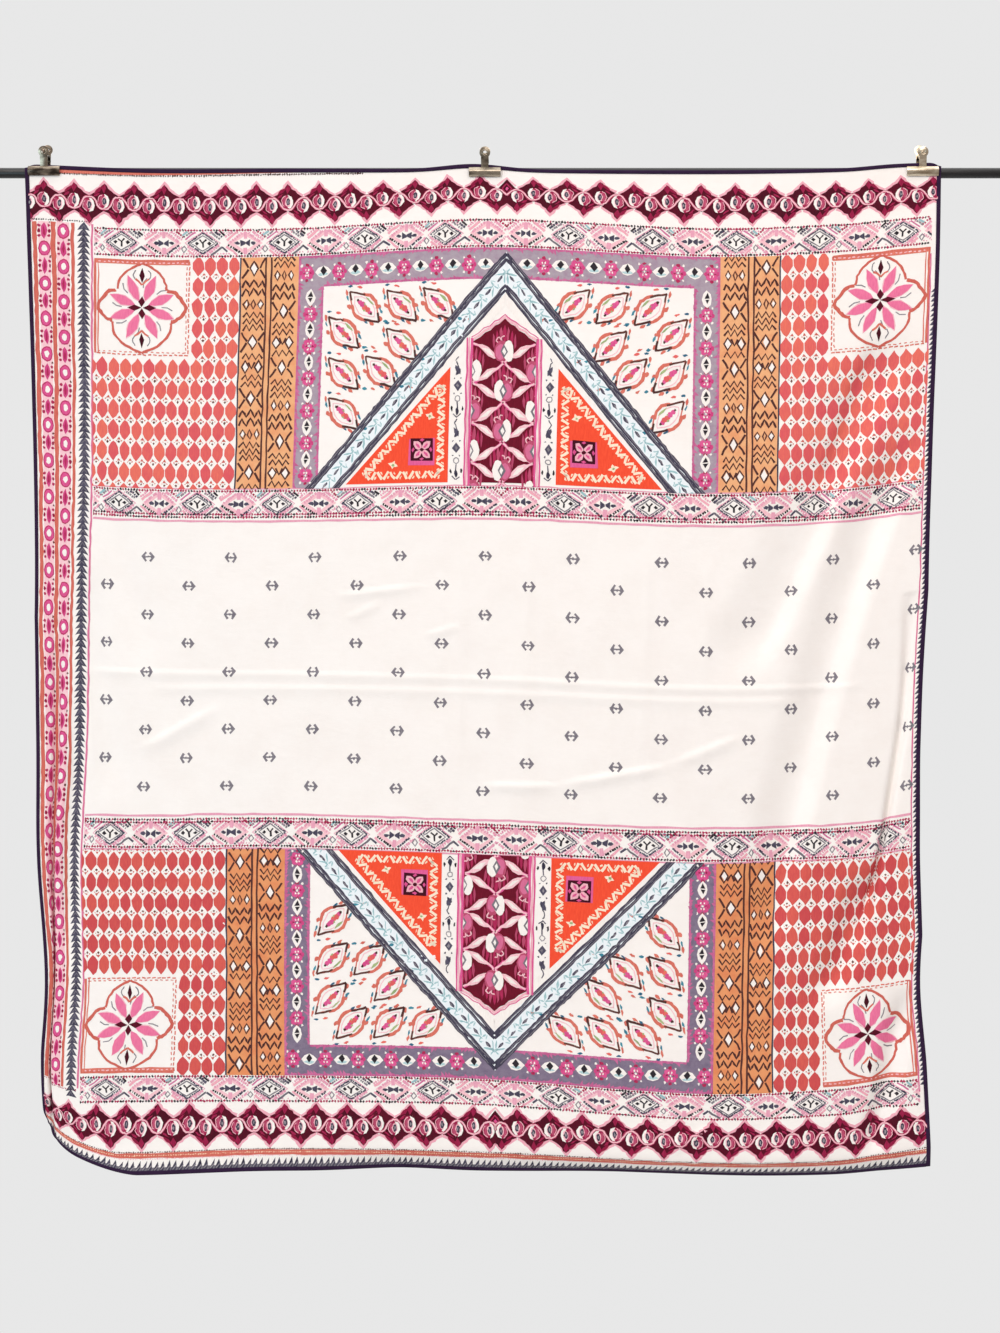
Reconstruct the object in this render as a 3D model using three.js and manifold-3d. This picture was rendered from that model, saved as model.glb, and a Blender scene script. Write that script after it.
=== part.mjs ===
// Embroidered quilt hung from a round rod by three spring clips.
// Millimetres, +Z up. The rod's axis lies on the X axis and the quilt's face looks along -Y.

import * as THREE from 'three';
import * as BufferGeometryUtils from 'three/addons/utils/BufferGeometryUtils.js';
import Module from 'manifold-3d';

const wasm = await Module();
wasm.setup();

// Driving dimensions

const QUILT = { width: 2200, length: 2424, thickness: 3, topHeight: 12 };
const BINDING = { depth: 9, cloth: 1, gap: 0.5 };
const ROD = { diameter: 25, length: 2500, centreX: 40, sides: 32 };
const CLOTH_GAP = 0.6;
const CLOTH_Y = -(ROD.diameter / 2 + CLOTH_GAP + BINDING.cloth + BINDING.gap + QUILT.thickness / 2);

const CLIP = {
  sheet: 1.2,
  jawWidth: 76,
  neckWidth: 23,
  ringRadius: 13,
  holeRadius: 4.5,
  lean: THREE.MathUtils.degToRad(7.6),
  neckFoot: 7,
  frontRingHeight: 44,
  backRingHeight: 57,
  springWidth: 19,
  springFoot: 27,
  springRise: 0.6,
  springSteps: 12,
  gap: 0.5,
  clothClearance: 2,
};

const CLIPS = [
  { name: 'left', x: -1060, lift: 3 },
  { name: 'centre', x: 2, lift: 0 },
  { name: 'right', x: 1057, lift: 2 },
];

// The section of a clip's jaw, from its tip up to the neck: how far it stands out and its height
const JAW_SECTION = [
  { out: 0, z: -13 },
  { out: 3.6, z: -9.5 },
  { out: 5.6, z: -4 },
  { out: 5.6, z: 2.5 },
  { out: 0.6, z: 9.5 },
];

// Spacing of the sheet's grid across its width and down its length; a line marks the binding's depth
const ACROSS = [
  { from: 0, to: BINDING.depth, steps: 1 },
  { from: BINDING.depth, to: 96, steps: 11 },
  { from: 96, to: 330, steps: 9 },
  { from: 330, to: 930, steps: 6 },
  { from: 930, to: 1260, steps: 6 },
  { from: 1260, to: 1700, steps: 4 },
  { from: 1700, to: 2010, steps: 7 },
  { from: 2010, to: QUILT.width - BINDING.depth, steps: 11 },
  { from: QUILT.width - BINDING.depth, to: QUILT.width, steps: 1 },
];
const DOWN = [
  { from: 0, to: BINDING.depth, steps: 1 },
  { from: BINDING.depth, to: 2250, steps: 28 },
  { from: 2250, to: QUILT.length - BINDING.depth, steps: 7 },
  { from: QUILT.length - BINDING.depth, to: QUILT.length, steps: 1 },
];

// How far each level has slid sideways as it hangs, at six places across the width
const SLIDE_ACROSS = [0, 161, 590, 1171, 1750, 2200];
const SLIDE = [
  { t: 0, first: -6, border: -3, left: -6, centre: -16, right: -7, last: 1 },
  { t: 250, first: 2, border: -3, left: -8, centre: -17, right: -8, last: -3 },
  { t: 700, first: 15, border: -4, left: -21, centre: -28, right: -13, last: -20 },
  { t: 1040, first: 19, border: -11, left: -29, centre: -32, right: -15, last: -30 },
  { t: 1400, first: 8, border: -16, left: -35, centre: -37, right: -17, last: -31 },
  { t: 1660, first: 6, border: -29, left: -42, centre: -41, right: -18, last: -29 },
  { t: 1950, first: 15, border: -24, left: -43, centre: -46, right: -23, last: -50 },
  { t: 2170, first: 7, border: -36, left: -43, centre: -45, right: -26, last: -34 },
  { t: 2424, first: 28, border: -38, left: -41, centre: -42, right: -27, last: -22 },
];

// How far each level has dropped below its flat place, at eight places across the width
const DROP_ACROSS = [0, 300, 640, 1130, 1650, 1965, 2090, 2200];
const DROP = [
  { t: 0, first: -5, left: 7, midLeft: 6, centre: 8, midRight: 10, right: 5, fold: -5, last: -9 },
  { t: 147, first: -10, left: 3, midLeft: 1, centre: -21, midRight: 1, right: -9, fold: -20, last: -31 },
  { t: 820, first: -22, left: -4, midLeft: -2, centre: -9, midRight: 10, right: -1, fold: -15, last: -27 },
  { t: 1590, first: 2, left: 8, midLeft: 5, centre: 20, midRight: 40, right: 31, fold: 20, last: 1 },
  { t: 2220, first: 4, left: -3, midLeft: -3, centre: 5, midRight: 42, right: 31, fold: 15, last: 2 },
  { t: 2371, first: 0, left: 6, midLeft: -4, centre: 5, midRight: 32, right: 28, fold: 11, last: -8 },
];

// Soft valleys: a line on the flat cloth, how far it bows to the left at half way, its depth, and how
// far its flanks reach to either side
const VALLEYS = [
  { s0: 2125, t0: 420, s1: 1735, t1: 1240, bow: 0, depth: 17, reachLeft: 150, reachRight: 60, fade: 150 },
  { s0: 2160, t0: 635, s1: 1790, t1: 1912, bow: 48, depth: 22, reachLeft: 110, reachRight: 65, fade: 170 },
  { s0: 2080, t0: 1640, s1: 1950, t1: 2010, bow: 0, depth: 26, reachLeft: 80, reachRight: 60, fade: 110 },
  { s0: 2165, t0: 1960, s1: 2055, t1: 2400, bow: 0, depth: 24, reachLeft: 55, reachRight: 45, fade: 110 },
  { s0: 70, t0: 380, s1: 330, t1: 1250, bow: 0, depth: 7, reachLeft: 110, reachRight: 80, fade: 200 },
  { s0: 150, t0: 950, s1: 240, t1: 1560, bow: 0, depth: 7, reachLeft: 75, reachRight: 60, fade: 150 },
  { s0: 130, t0: 1230, s1: 122, t1: 1960, bow: 0, depth: 13, reachLeft: 36, reachRight: 42, fade: 260 },
];

// Tucks: narrow grooves that swallow cloth near a side edge and draw that edge inward
const TUCKS = [
  {
    side: -1,
    halfWidth: 30,
    rows: [
      { t: 1100, s: 66, hidden: 0 },
      { t: 1400, s: 64, hidden: 14 },
      { t: 1660, s: 58, hidden: 18 },
      { t: 1950, s: 48, hidden: 28 },
      { t: 2170, s: 48, hidden: 28 },
      { t: 2424, s: 48, hidden: 12 },
    ],
  },
  {
    side: 1,
    halfWidth: 30,
    rows: [
      { t: 1040, s: 2158, hidden: 0 },
      { t: 1285, s: 2152, hidden: 14 },
      { t: 1567, s: 2106, hidden: 22 },
      { t: 1680, s: 2082, hidden: 20 },
      { t: 1850, s: 2040, hidden: 0 },
    ],
  },
];

// How far the hem is turned back behind, in degrees, across the width
const HEM = { line: 2371, soft: 9 };
const HEM_TURN = [
  { s: 0, angle: 0 },
  { s: 700, angle: 6 },
  { s: 930, angle: 30 },
  { s: 1130, angle: 27 },
  { s: 1480, angle: 50 },
  { s: 1965, angle: 46 },
  { s: 2085, angle: 38 },
  { s: 2200, angle: 22 },
];

// The lower left corner is drawn up: how far, how far along the hem that shows, how much sooner it
// fades up the side than along the hem, and how quickly it fades
const CORNER = { rise: 116, reach: 310, upShare: 0.8, power: 1.2 };

// The upper corners droop a little outside the end clips
const DROOP = { amount: 8, reach: 14, fade: 60 };

// The middle clip holds the top edge up between the sags on either side
const PEAK = { s: 1090, rise: 13, reach: 100, fade: 50 };

// Small mathematics

function smoothStep(x) {
  const u = THREE.MathUtils.clamp(x, 0, 1);
  return u * u * (3 - 2 * u);
}

// Smooth curve through given values; its slopes are those of the chords on either side
function curveThrough(places, values, at) {
  const last = places.length - 1;
  const x = THREE.MathUtils.clamp(at, places[0], places[last]);
  let i = 0;
  while (i < last - 1 && x > places[i + 1]) i += 1;
  const slope = (k) => {
    const a = Math.max(k - 1, 0);
    const b = Math.min(k + 1, last);
    return (values[b] - values[a]) / (places[b] - places[a]);
  };
  const span = places[i + 1] - places[i];
  const u = (x - places[i]) / span;
  const rise = values[i + 1] - values[i];
  const bend = u * (1 - u);
  const fromStart = (slope(i) * span - rise) * (1 - u);
  const fromEnd = (rise - slope(i + 1) * span) * u;
  return values[i] + rise * u + bend * (fromStart + fromEnd);
}

// Smooth surface through a table of levels
function tableAt(table, across, s, t) {
  const levels = table.map((row) => row.t);
  const columns = Object.keys(table[0]).filter((key) => key !== 't');
  const values = table.map((row) => curveThrough(across, columns.map((key) => row[key]), s));
  return curveThrough(levels, values, t);
}

function spread(ranges) {
  const lines = [ranges[0].from];
  for (const range of ranges) {
    for (let k = 1; k <= range.steps; k += 1) {
      lines.push(range.from + ((range.to - range.from) * k) / range.steps);
    }
  }
  return lines;
}

// The hung shape of the cloth's middle surface

function valleyDepth(valley, s, t) {
  const fall = valley.t1 - valley.t0;
  const along = (t - valley.t0) / fall;
  const line = valley.s0 + (valley.s1 - valley.s0) * along - 4 * valley.bow * along * (1 - along);
  const offset = s - line;
  const reach = offset < 0 ? valley.reachLeft : valley.reachRight;
  const ends = smoothStep((t - valley.t0) / valley.fade) * smoothStep((valley.t1 - t) / valley.fade);
  return valley.depth * ends * (1 - smoothStep(Math.abs(offset) / reach));
}

function tuckAt(tuck, t) {
  const levels = tuck.rows.map((row) => row.t);
  const inside = t > levels[0];
  const line = curveThrough(levels, tuck.rows.map((row) => row.s), t);
  const hidden = curveThrough(levels, tuck.rows.map((row) => row.hidden), t);
  return { line, hidden: inside ? Math.max(hidden, 0) : 0 };
}

// Section of a groove whose length along the cloth is kept: the share of its width that it hides
// sets how steep its sides are, and the series are those of the Bessel functions J0, J1 and J2
function groove(offset, halfWidth, hidden) {
  const squared = 8 - 8 * Math.sqrt(1 - hidden / (2 * halfWidth));
  const steep = Math.sqrt(squared);
  const first = steep / 2 - steep ** 3 / 16 + steep ** 5 / 384;
  const second = squared / 8 - squared ** 2 / 96;
  const u = THREE.MathUtils.clamp(offset / halfWidth, -1, 1);
  const sway = ((second * halfWidth) / Math.PI) * Math.sin(2 * Math.PI * u);
  return {
    pulled: (hidden * (u + 1)) / 2 - sway,
    depth: ((2 * first * halfWidth) / Math.PI) * (1 + Math.cos(Math.PI * u)),
  };
}

function hemAngle(s) {
  const places = HEM_TURN.map((row) => row.s);
  const angle = curveThrough(places, HEM_TURN.map((row) => row.angle), s);
  return THREE.MathUtils.degToRad(Math.max(angle, 0));
}

// How far the lower left corner is drawn up
function cornerRise(s, t) {
  const along = s + CORNER.upShare * (QUILT.length - t);
  return CORNER.rise * Math.max(1 - along / CORNER.reach, 0) ** CORNER.power;
}

// The hung place of a point of the flat cloth, s across from the left edge and t down from the top
function hung(s, t) {
  let x = s - QUILT.width / 2 + tableAt(SLIDE, SLIDE_ACROSS, s, t);
  let y = CLOTH_Y;
  let z = QUILT.topHeight - t - tableAt(DROP, DROP_ACROSS, s, t);

  const toSide = Math.min(s, QUILT.width - s);
  z -= DROOP.amount * Math.exp(-((toSide / DROOP.reach) ** 2)) * Math.exp(-t / DROOP.fade);
  z += PEAK.rise * Math.exp(-(((s - PEAK.s) / PEAK.reach) ** 2)) * Math.exp(-t / PEAK.fade);
  z += cornerRise(s, t);

  for (const valley of VALLEYS) y += valleyDepth(valley, s, t);

  for (const tuck of TUCKS) {
    const { line, hidden } = tuckAt(tuck, t);
    const { pulled, depth } = groove((s - line) * tuck.side, tuck.halfWidth, hidden);
    x -= tuck.side * pulled;
    y += depth;
  }

  const pastHem = t - HEM.line;
  const turned = (pastHem + Math.sqrt(pastHem * pastHem + HEM.soft * HEM.soft)) / 2;
  const angle = hemAngle(s);
  z += turned * (1 - Math.cos(angle));
  y += turned * Math.sin(angle);
  return new THREE.Vector3(x, y, z);
}

// Unit normal of the hung cloth on its face side
function faceNormal(s, t) {
  const step = 3;
  const acrossCloth = hung(s + step, t).sub(hung(s - step, t));
  const downCloth = hung(s, t + step).sub(hung(s, t - step));
  return acrossCloth.cross(downCloth).negate().normalize();
}

// Closed solids

function solidFrom(points, triangles) {
  const geometry = new THREE.BufferGeometry();
  const coordinates = points.flatMap((point) => [point.x, point.y, point.z]);
  geometry.setAttribute('position', new THREE.Float32BufferAttribute(coordinates, 3));
  geometry.setIndex(triangles);
  geometry.computeVertexNormals();
  return geometry;
}

// A sheet of even thickness on the hung surface, with a rim round its four edges
function sheetGeometry(columns, rows, thickness) {
  const points = [];
  const triangles = [];
  const wide = columns.length;
  const count = wide * rows.length;
  for (const side of [1, -1]) {
    for (const t of rows) {
      for (const s of columns) {
        points.push(hung(s, t).addScaledVector(faceNormal(s, t), (side * thickness) / 2));
      }
    }
  }
  const quad = (a, b, c, d) => triangles.push(a, b, c, a, c, d);
  for (let j = 0; j + 1 < rows.length; j += 1) {
    for (let i = 0; i + 1 < wide; i += 1) {
      const a = j * wide + i;
      quad(a, a + wide, a + wide + 1, a + 1);
      quad(count + a, count + a + 1, count + a + wide + 1, count + a + wide);
    }
  }
  const rim = [];
  for (let i = 0; i < wide; i += 1) rim.push(i);
  for (let j = 1; j < rows.length; j += 1) rim.push(j * wide + wide - 1);
  for (let i = wide - 2; i >= 0; i -= 1) rim.push((rows.length - 1) * wide + i);
  for (let j = rows.length - 2; j >= 1; j -= 1) rim.push(j * wide);
  rim.forEach((a, k) => {
    const b = rim[(k + 1) % rim.length];
    quad(a, b, count + b, count + a);
  });
  return solidFrom(points, triangles);
}

// The folded binding on one edge of the sheet. Its legs run beside the sheet's two faces, from the
// edge to a point inside it, and each station gives those two places on the flat cloth.
function bindingSection(station) {
  const face = (s, t) => ({ middle: hung(s, t), normal: faceNormal(s, t) });
  const edge = face(station.s, station.t);
  const inside = face(station.insideS, station.insideT);
  const outward = edge.middle.clone().sub(inside.middle).normalize();
  const half = QUILT.thickness / 2;
  const slim = BINDING.gap;
  const full = BINDING.gap + BINDING.cloth;
  const legEnd = (side, out) => inside.middle.clone().addScaledVector(inside.normal, side * (half + out));
  const fold = (side, out) =>
    edge.middle.clone().addScaledVector(edge.normal, side * (half + out)).addScaledVector(outward, out);
  return [
    legEnd(1, full), fold(1, full), fold(-1, full), legEnd(-1, full),
    legEnd(-1, slim), fold(-1, slim), fold(1, slim), legEnd(1, slim),
  ];
}

// The stations run so that the binding's facets split along the same diagonals as the sheet's
function bindingGeometry(stations, flip) {
  const size = 8;
  const otherDiagonal = flip ? [0, 4, 5] : [0, 1, 4];
  const points = stations.flatMap(bindingSection);
  const triangles = [];
  const triangle = (a, b, c) => triangles.push(...(flip ? [a, c, b] : [a, b, c]));
  for (let k = 0; k + 1 < stations.length; k += 1) {
    for (let i = 0; i < size; i += 1) {
      const a = k * size + i;
      const b = k * size + ((i + 1) % size);
      if (otherDiagonal.includes(i)) {
        triangle(a, b, a + size);
        triangle(b, b + size, a + size);
      } else {
        triangle(a, b, b + size);
        triangle(a, b + size, a + size);
      }
    }
  }
  const end = (stations.length - 1) * size;
  const capQuads = [[0, 1, 6, 7], [1, 2, 5, 6], [2, 3, 4, 5]];
  for (const [a, b, c, d] of capQuads) {
    triangle(a, c, b);
    triangle(a, d, c);
    triangle(end + a, end + b, end + c);
    triangle(end + a, end + c, end + d);
  }
  return solidFrom(points, triangles);
}

function toManifold(geometry) {
  const bare = geometry.clone();
  bare.deleteAttribute('normal');
  bare.deleteAttribute('uv');
  const merged = BufferGeometryUtils.mergeVertices(bare);
  const mesh = new wasm.Mesh({
    numProp: 3,
    vertProperties: new Float32Array(merged.attributes.position.array),
    triVerts: new Uint32Array(merged.index.array),
  });
  return new wasm.Manifold(mesh);
}

function fused(first, second) {
  const mesh = toManifold(first).add(toManifold(second)).getMesh();
  const geometry = new THREE.BufferGeometry();
  geometry.setAttribute('position', new THREE.BufferAttribute(new Float32Array(mesh.vertProperties), 3));
  geometry.setIndex(new THREE.BufferAttribute(new Uint32Array(mesh.triVerts), 1));
  geometry.computeVertexNormals();
  return geometry;
}

// A bent strip of sheet metal: its middle line in the Y-Z plane, drawn out along X
function bentStrip(line, thickness, width) {
  const side = (sign) =>
    line.map((point, k) => {
      const before = line[Math.max(k - 1, 0)];
      const after = line[Math.min(k + 1, line.length - 1)];
      const along = new THREE.Vector2().subVectors(after, before).normalize();
      return new THREE.Vector2(point.x - along.y * sign, point.y + along.x * sign);
    });
  const outline = [...side(thickness / 2), ...side(-thickness / 2).reverse()];
  const geometry = new THREE.ExtrudeGeometry(new THREE.Shape(outline), {
    depth: width,
    bevelEnabled: false,
  });
  geometry.translate(0, 0, -width / 2);
  geometry.applyMatrix4(new THREE.Matrix4().makeBasis(
    new THREE.Vector3(0, 1, 0),
    new THREE.Vector3(0, 0, 1),
    new THREE.Vector3(1, 0, 0),
  ));
  return geometry;
}

// A clip's handle: a flat neck that ends in a ring, leaning out from its foot
function handlePlate(length) {
  const half = CLIP.neckWidth / 2;
  const shoulder = Math.asin(half / CLIP.ringRadius);
  const outline = new THREE.Shape();
  outline.moveTo(-half, 0);
  outline.lineTo(half, 0);
  outline.absarc(0, length, CLIP.ringRadius, -Math.PI / 2 + shoulder, 1.5 * Math.PI - shoulder, false);
  outline.closePath();
  const hole = new THREE.Path();
  hole.absarc(0, length, CLIP.holeRadius, 0, 2 * Math.PI, true);
  outline.holes.push(hole);
  const plate = new THREE.ExtrudeGeometry(outline, {
    depth: CLIP.sheet,
    bevelEnabled: false,
    curveSegments: 12,
  });
  plate.translate(0, 0, -CLIP.sheet / 2);
  plate.rotateX(Math.PI / 2 + CLIP.lean);
  return plate;
}

// One lever of a clip: side is -1 in front of the cloth and +1 behind the rod
function leverGeometry(side, tip, ringHeight) {
  const line = JAW_SECTION.map((row) => new THREE.Vector2(-(tip + row.out), row.z));
  const jaw = bentStrip(line, CLIP.sheet, CLIP.jawWidth);
  const foot = tip + JAW_SECTION[JAW_SECTION.length - 1].out;
  const plate = handlePlate((ringHeight - CLIP.neckFoot) / Math.cos(CLIP.lean));
  plate.translate(0, -foot, CLIP.neckFoot);
  const lever = fused(jaw, plate);
  if (side > 0) lever.rotateZ(Math.PI);
  return lever;
}

// How far a lever's inner face stands from the rod's axis at a height on its neck
function leverFaceAt(tip, height) {
  const foot = tip + JAW_SECTION[JAW_SECTION.length - 1].out;
  return foot + (height - CLIP.neckFoot) * Math.tan(CLIP.lean) - CLIP.sheet / 2;
}

// The arched leaf that presses the two levers apart above the rod
function springGeometry(frontTip, backTip) {
  const front = -leverFaceAt(frontTip, CLIP.springFoot) + CLIP.gap + CLIP.sheet / 2;
  const back = leverFaceAt(backTip, CLIP.springFoot) - CLIP.gap - CLIP.sheet / 2;
  const centre = (front + back) / 2;
  const radius = (back - front) / 2;
  const line = [];
  for (let k = 0; k <= CLIP.springSteps; k += 1) {
    const angle = Math.PI - (Math.PI * k) / CLIP.springSteps;
    const height = CLIP.springFoot + CLIP.springRise * radius * Math.sin(angle);
    line.push(new THREE.Vector2(centre + radius * Math.cos(angle), height));
  }
  return bentStrip(line, CLIP.sheet, CLIP.springWidth);
}

// Finishes

const cotton = new THREE.MeshStandardMaterial({ color: 0xf6f0e8, roughness: 0.95, metalness: 0 });
const purpleCotton = new THREE.MeshStandardMaterial({ color: 0x2e1a3c, roughness: 0.9, metalness: 0 });
const blackPaint = new THREE.MeshStandardMaterial({ color: 0x1c1c1c, roughness: 0.45, metalness: 0.2 });
const steel = new THREE.MeshStandardMaterial({ color: 0x8c8478, roughness: 0.35, metalness: 0.9 });

function piece(name, geometry, material) {
  const mesh = new THREE.Mesh(geometry, material);
  mesh.name = name;
  return mesh;
}

// Sub-assemblies

function quiltGroup() {
  const group = new THREE.Group();
  const columns = spread(ACROSS);
  const rows = spread(DOWN);
  const butt = BINDING.depth + BINDING.gap;
  const { width, length } = QUILT;
  const between = [butt, ...columns.filter((s) => s > butt && s < width - butt), width - butt];

  group.add(piece('quilt', sheetGeometry(columns, rows, QUILT.thickness), cotton));
  const level = (t, insideT) => between.map((s) => ({ s, t, insideS: s, insideT }));
  const upright = (s, insideS) => rows.map((t) => ({ s, t, insideS, insideT: t }));
  group.add(piece('binding_top', bindingGeometry(level(0, BINDING.depth), true), purpleCotton));
  const bottom = level(length, length - BINDING.depth).reverse();
  group.add(piece('binding_bottom', bindingGeometry(bottom, true), purpleCotton));
  group.add(piece('binding_left', bindingGeometry(upright(0, BINDING.depth), false), purpleCotton));
  const right = upright(width, width - BINDING.depth).reverse();
  group.add(piece('binding_right', bindingGeometry(right, false), purpleCotton));
  return group;
}

function rodMesh() {
  const geometry = new THREE.CylinderGeometry(ROD.diameter / 2, ROD.diameter / 2, ROD.length, ROD.sides);
  const rod = piece('rod', geometry, blackPaint);
  rod.rotation.z = Math.PI / 2;
  rod.position.x = ROD.centreX;
  return rod;
}

function clipGroup({ name, x, lift }) {
  const group = new THREE.Group();
  const halfSheet = CLIP.sheet / 2;
  const frontTip = -CLOTH_Y + QUILT.thickness / 2 + CLIP.clothClearance + halfSheet;
  const backTip = ROD.diameter / 2 + CLIP.gap + halfSheet;
  const front = leverGeometry(-1, frontTip, CLIP.frontRingHeight);
  const back = leverGeometry(1, backTip, CLIP.backRingHeight);
  group.add(piece(`clip_${name}_front`, front, steel));
  group.add(piece(`clip_${name}_back`, back, steel));
  group.add(piece(`clip_${name}_spring`, springGeometry(frontTip, backTip), steel));
  group.position.set(x, 0, lift);
  return group;
}

const hangingQuilt = new THREE.Group();
hangingQuilt.add(quiltGroup());
hangingQuilt.add(rodMesh());
for (const clip of CLIPS) hangingQuilt.add(clipGroup(clip));

export default hangingQuilt;
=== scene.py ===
"""Embroidered quilt hung from a round rod by three spring clips, dressed in cloth, thread and metal."""

import logging
import math
from bisect import bisect_left, bisect_right
from collections.abc import Iterator
from dataclasses import dataclass, field
from enum import Enum
from functools import cache

import bmesh
import bpy
import numpy as np
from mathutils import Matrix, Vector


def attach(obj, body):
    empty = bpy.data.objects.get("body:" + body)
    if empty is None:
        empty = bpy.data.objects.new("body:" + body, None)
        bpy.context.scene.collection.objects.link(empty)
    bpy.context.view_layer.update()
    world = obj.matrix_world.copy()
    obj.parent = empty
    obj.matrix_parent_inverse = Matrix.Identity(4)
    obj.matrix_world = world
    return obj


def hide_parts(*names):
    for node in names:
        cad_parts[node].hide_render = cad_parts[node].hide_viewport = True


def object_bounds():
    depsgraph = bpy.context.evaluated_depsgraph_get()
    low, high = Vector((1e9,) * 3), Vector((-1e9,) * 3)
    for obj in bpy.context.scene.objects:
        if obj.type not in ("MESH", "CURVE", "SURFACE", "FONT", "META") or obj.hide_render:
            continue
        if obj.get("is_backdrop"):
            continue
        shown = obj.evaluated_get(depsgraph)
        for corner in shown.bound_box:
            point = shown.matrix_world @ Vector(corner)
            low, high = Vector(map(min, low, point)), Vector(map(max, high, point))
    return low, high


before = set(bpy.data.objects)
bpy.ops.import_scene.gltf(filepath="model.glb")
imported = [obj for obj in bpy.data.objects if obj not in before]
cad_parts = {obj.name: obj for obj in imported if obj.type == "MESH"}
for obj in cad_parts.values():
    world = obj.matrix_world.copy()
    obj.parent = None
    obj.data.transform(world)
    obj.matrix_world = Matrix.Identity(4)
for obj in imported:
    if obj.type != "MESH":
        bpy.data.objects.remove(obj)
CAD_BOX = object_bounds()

LOG = logging.getLogger("quilt")

Point = tuple[float, float]
Flat = tuple[float, float, float]
Colour = tuple[int, int, int]
Array = np.ndarray
BMesh = bmesh.types.BMesh
Socket = bpy.types.NodeSocket
Material = bpy.types.Material
Piece = bpy.types.Object

MM = 0.001
BODY = "root"
FLAT_MAP = "flat"
TINT = "tint"
SEED = 11

# Layout of the flat cloth in millimetres: s runs across from the left edge, t down from the top
WIDTH = 2200
LENGTH = 2424
BINDING_DEPTH = 9
CENTRE = 1171
PANEL_LEFT = 161
PANEL_RIGHT = 2181
UPPER_PANEL = (217, 780)
LOWER_PANEL = (2193, 1637)
FIELD_HALF = 446
FRAME_HALF = 508
STRIPES_HALF = 651
LATTICE_HALF = 1010
FRAME_DEPTH = 76
FULL = ((6, WIDTH - 6), (6, LENGTH - 6))
BOTH = (-1, 1)
NORMAL_STEP = 3


# Small mathematics


def smooth_step(x: Array) -> Array:
    """Ease from 0 to 1 while x goes from 0 to 1."""
    u = np.clip(x, 0, 1)
    return u * u * (3 - 2 * u)


def curve_through(places: list[float], values: Array, at: Array) -> Array:
    """Smooth curve through given values, with the slopes of the chords on either side.

    Args:
        places: Where the values are given, in rising order.
        values: One value a place, or one column of values a point of at.
        at: Where the curve is read.

    Returns:
        The curve's value at each point.
    """
    knots = np.asarray(places, float)
    rows = np.asarray(values, float)
    x = np.clip(at, knots[0], knots[-1])
    if rows.ndim == 1:
        rows = np.repeat(rows[:, None], x.size, axis=1)
    last = len(knots) - 1
    i = np.clip(np.searchsorted(knots, x) - 1, 0, last - 1)
    column = np.arange(x.size)
    before = np.maximum(np.arange(last + 1) - 1, 0)
    after = np.minimum(np.arange(last + 1) + 1, last)
    slopes = (rows[after] - rows[before]) / (knots[after] - knots[before])[:, None]
    span = knots[i + 1] - knots[i]
    u = (x - knots[i]) / span
    start = rows[i, column]
    rise = rows[i + 1, column] - start
    from_start = (slopes[i, column] * span - rise) * (1 - u)
    from_end = (rise - slopes[i + 1, column] * span) * u
    return start + rise * u + u * (1 - u) * (from_start + from_end)


def table_at(table: dict[float, tuple], across: tuple, s: Array, t: Array) -> Array:
    """Smooth surface through a table whose rows are levels of t and whose columns are places of s."""
    values = np.array([curve_through(across, row, s) for row in table.values()])
    return curve_through(list(table), values, t)


def linear(colour: Colour) -> tuple[float, float, float, float]:
    """A screen colour from 0 to 255 as linear light with full alpha."""
    shares = (c / 255 for c in colour)
    return (*[x / 12.92 if x <= 0.04045 else ((x + 0.055) / 1.055) ** 2.4 for x in shares], 1)


def turns(count: int) -> list[float]:
    """Even turns round a circle, in radians."""
    return [2 * math.pi * k / count for k in range(count)]


def unit(rows: Array) -> Array:
    """Rows scaled to length 1."""
    return rows / np.maximum(np.linalg.norm(rows, axis=1), 1e-9)[:, None]


def sideways(at: Array, closed: bool = False) -> Array:
    """Unit directions square to a line.

    Args:
        at: The line's points.
        closed: Whether it comes back to its start.

    Returns:
        One direction a point.
    """
    before, after = np.roll(at, 1, axis=0), np.roll(at, -1, axis=0)
    if not closed:
        before[0] = at[0]
        after[-1] = at[-1]
    along = unit(after - before)
    return np.stack([-along[:, 1], along[:, 0]], axis=1)


# The hung shape


@dataclass(frozen=True)
class Valley:
    """Soft valley along a line of the flat cloth."""

    s0: float
    t0: float
    s1: float
    t1: float
    depth: float
    reach_left: float
    reach_right: float
    fade: float
    bow: float = 0

    def at(self, s: Array, t: Array) -> Array:
        """How far the cloth is carried back at each point.

        Args:
            s: Places across.
            t: Places down.

        Returns:
            The depth in millimetres.
        """
        along = (t - self.t0) / (self.t1 - self.t0)
        line = self.s0 + (self.s1 - self.s0) * along - 4 * self.bow * along * (1 - along)
        offset = s - line
        reach = np.where(offset < 0, self.reach_left, self.reach_right)
        ends = smooth_step((t - self.t0) / self.fade) * smooth_step((self.t1 - t) / self.fade)
        return self.depth * ends * (1 - smooth_step(np.abs(offset) / reach))


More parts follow.
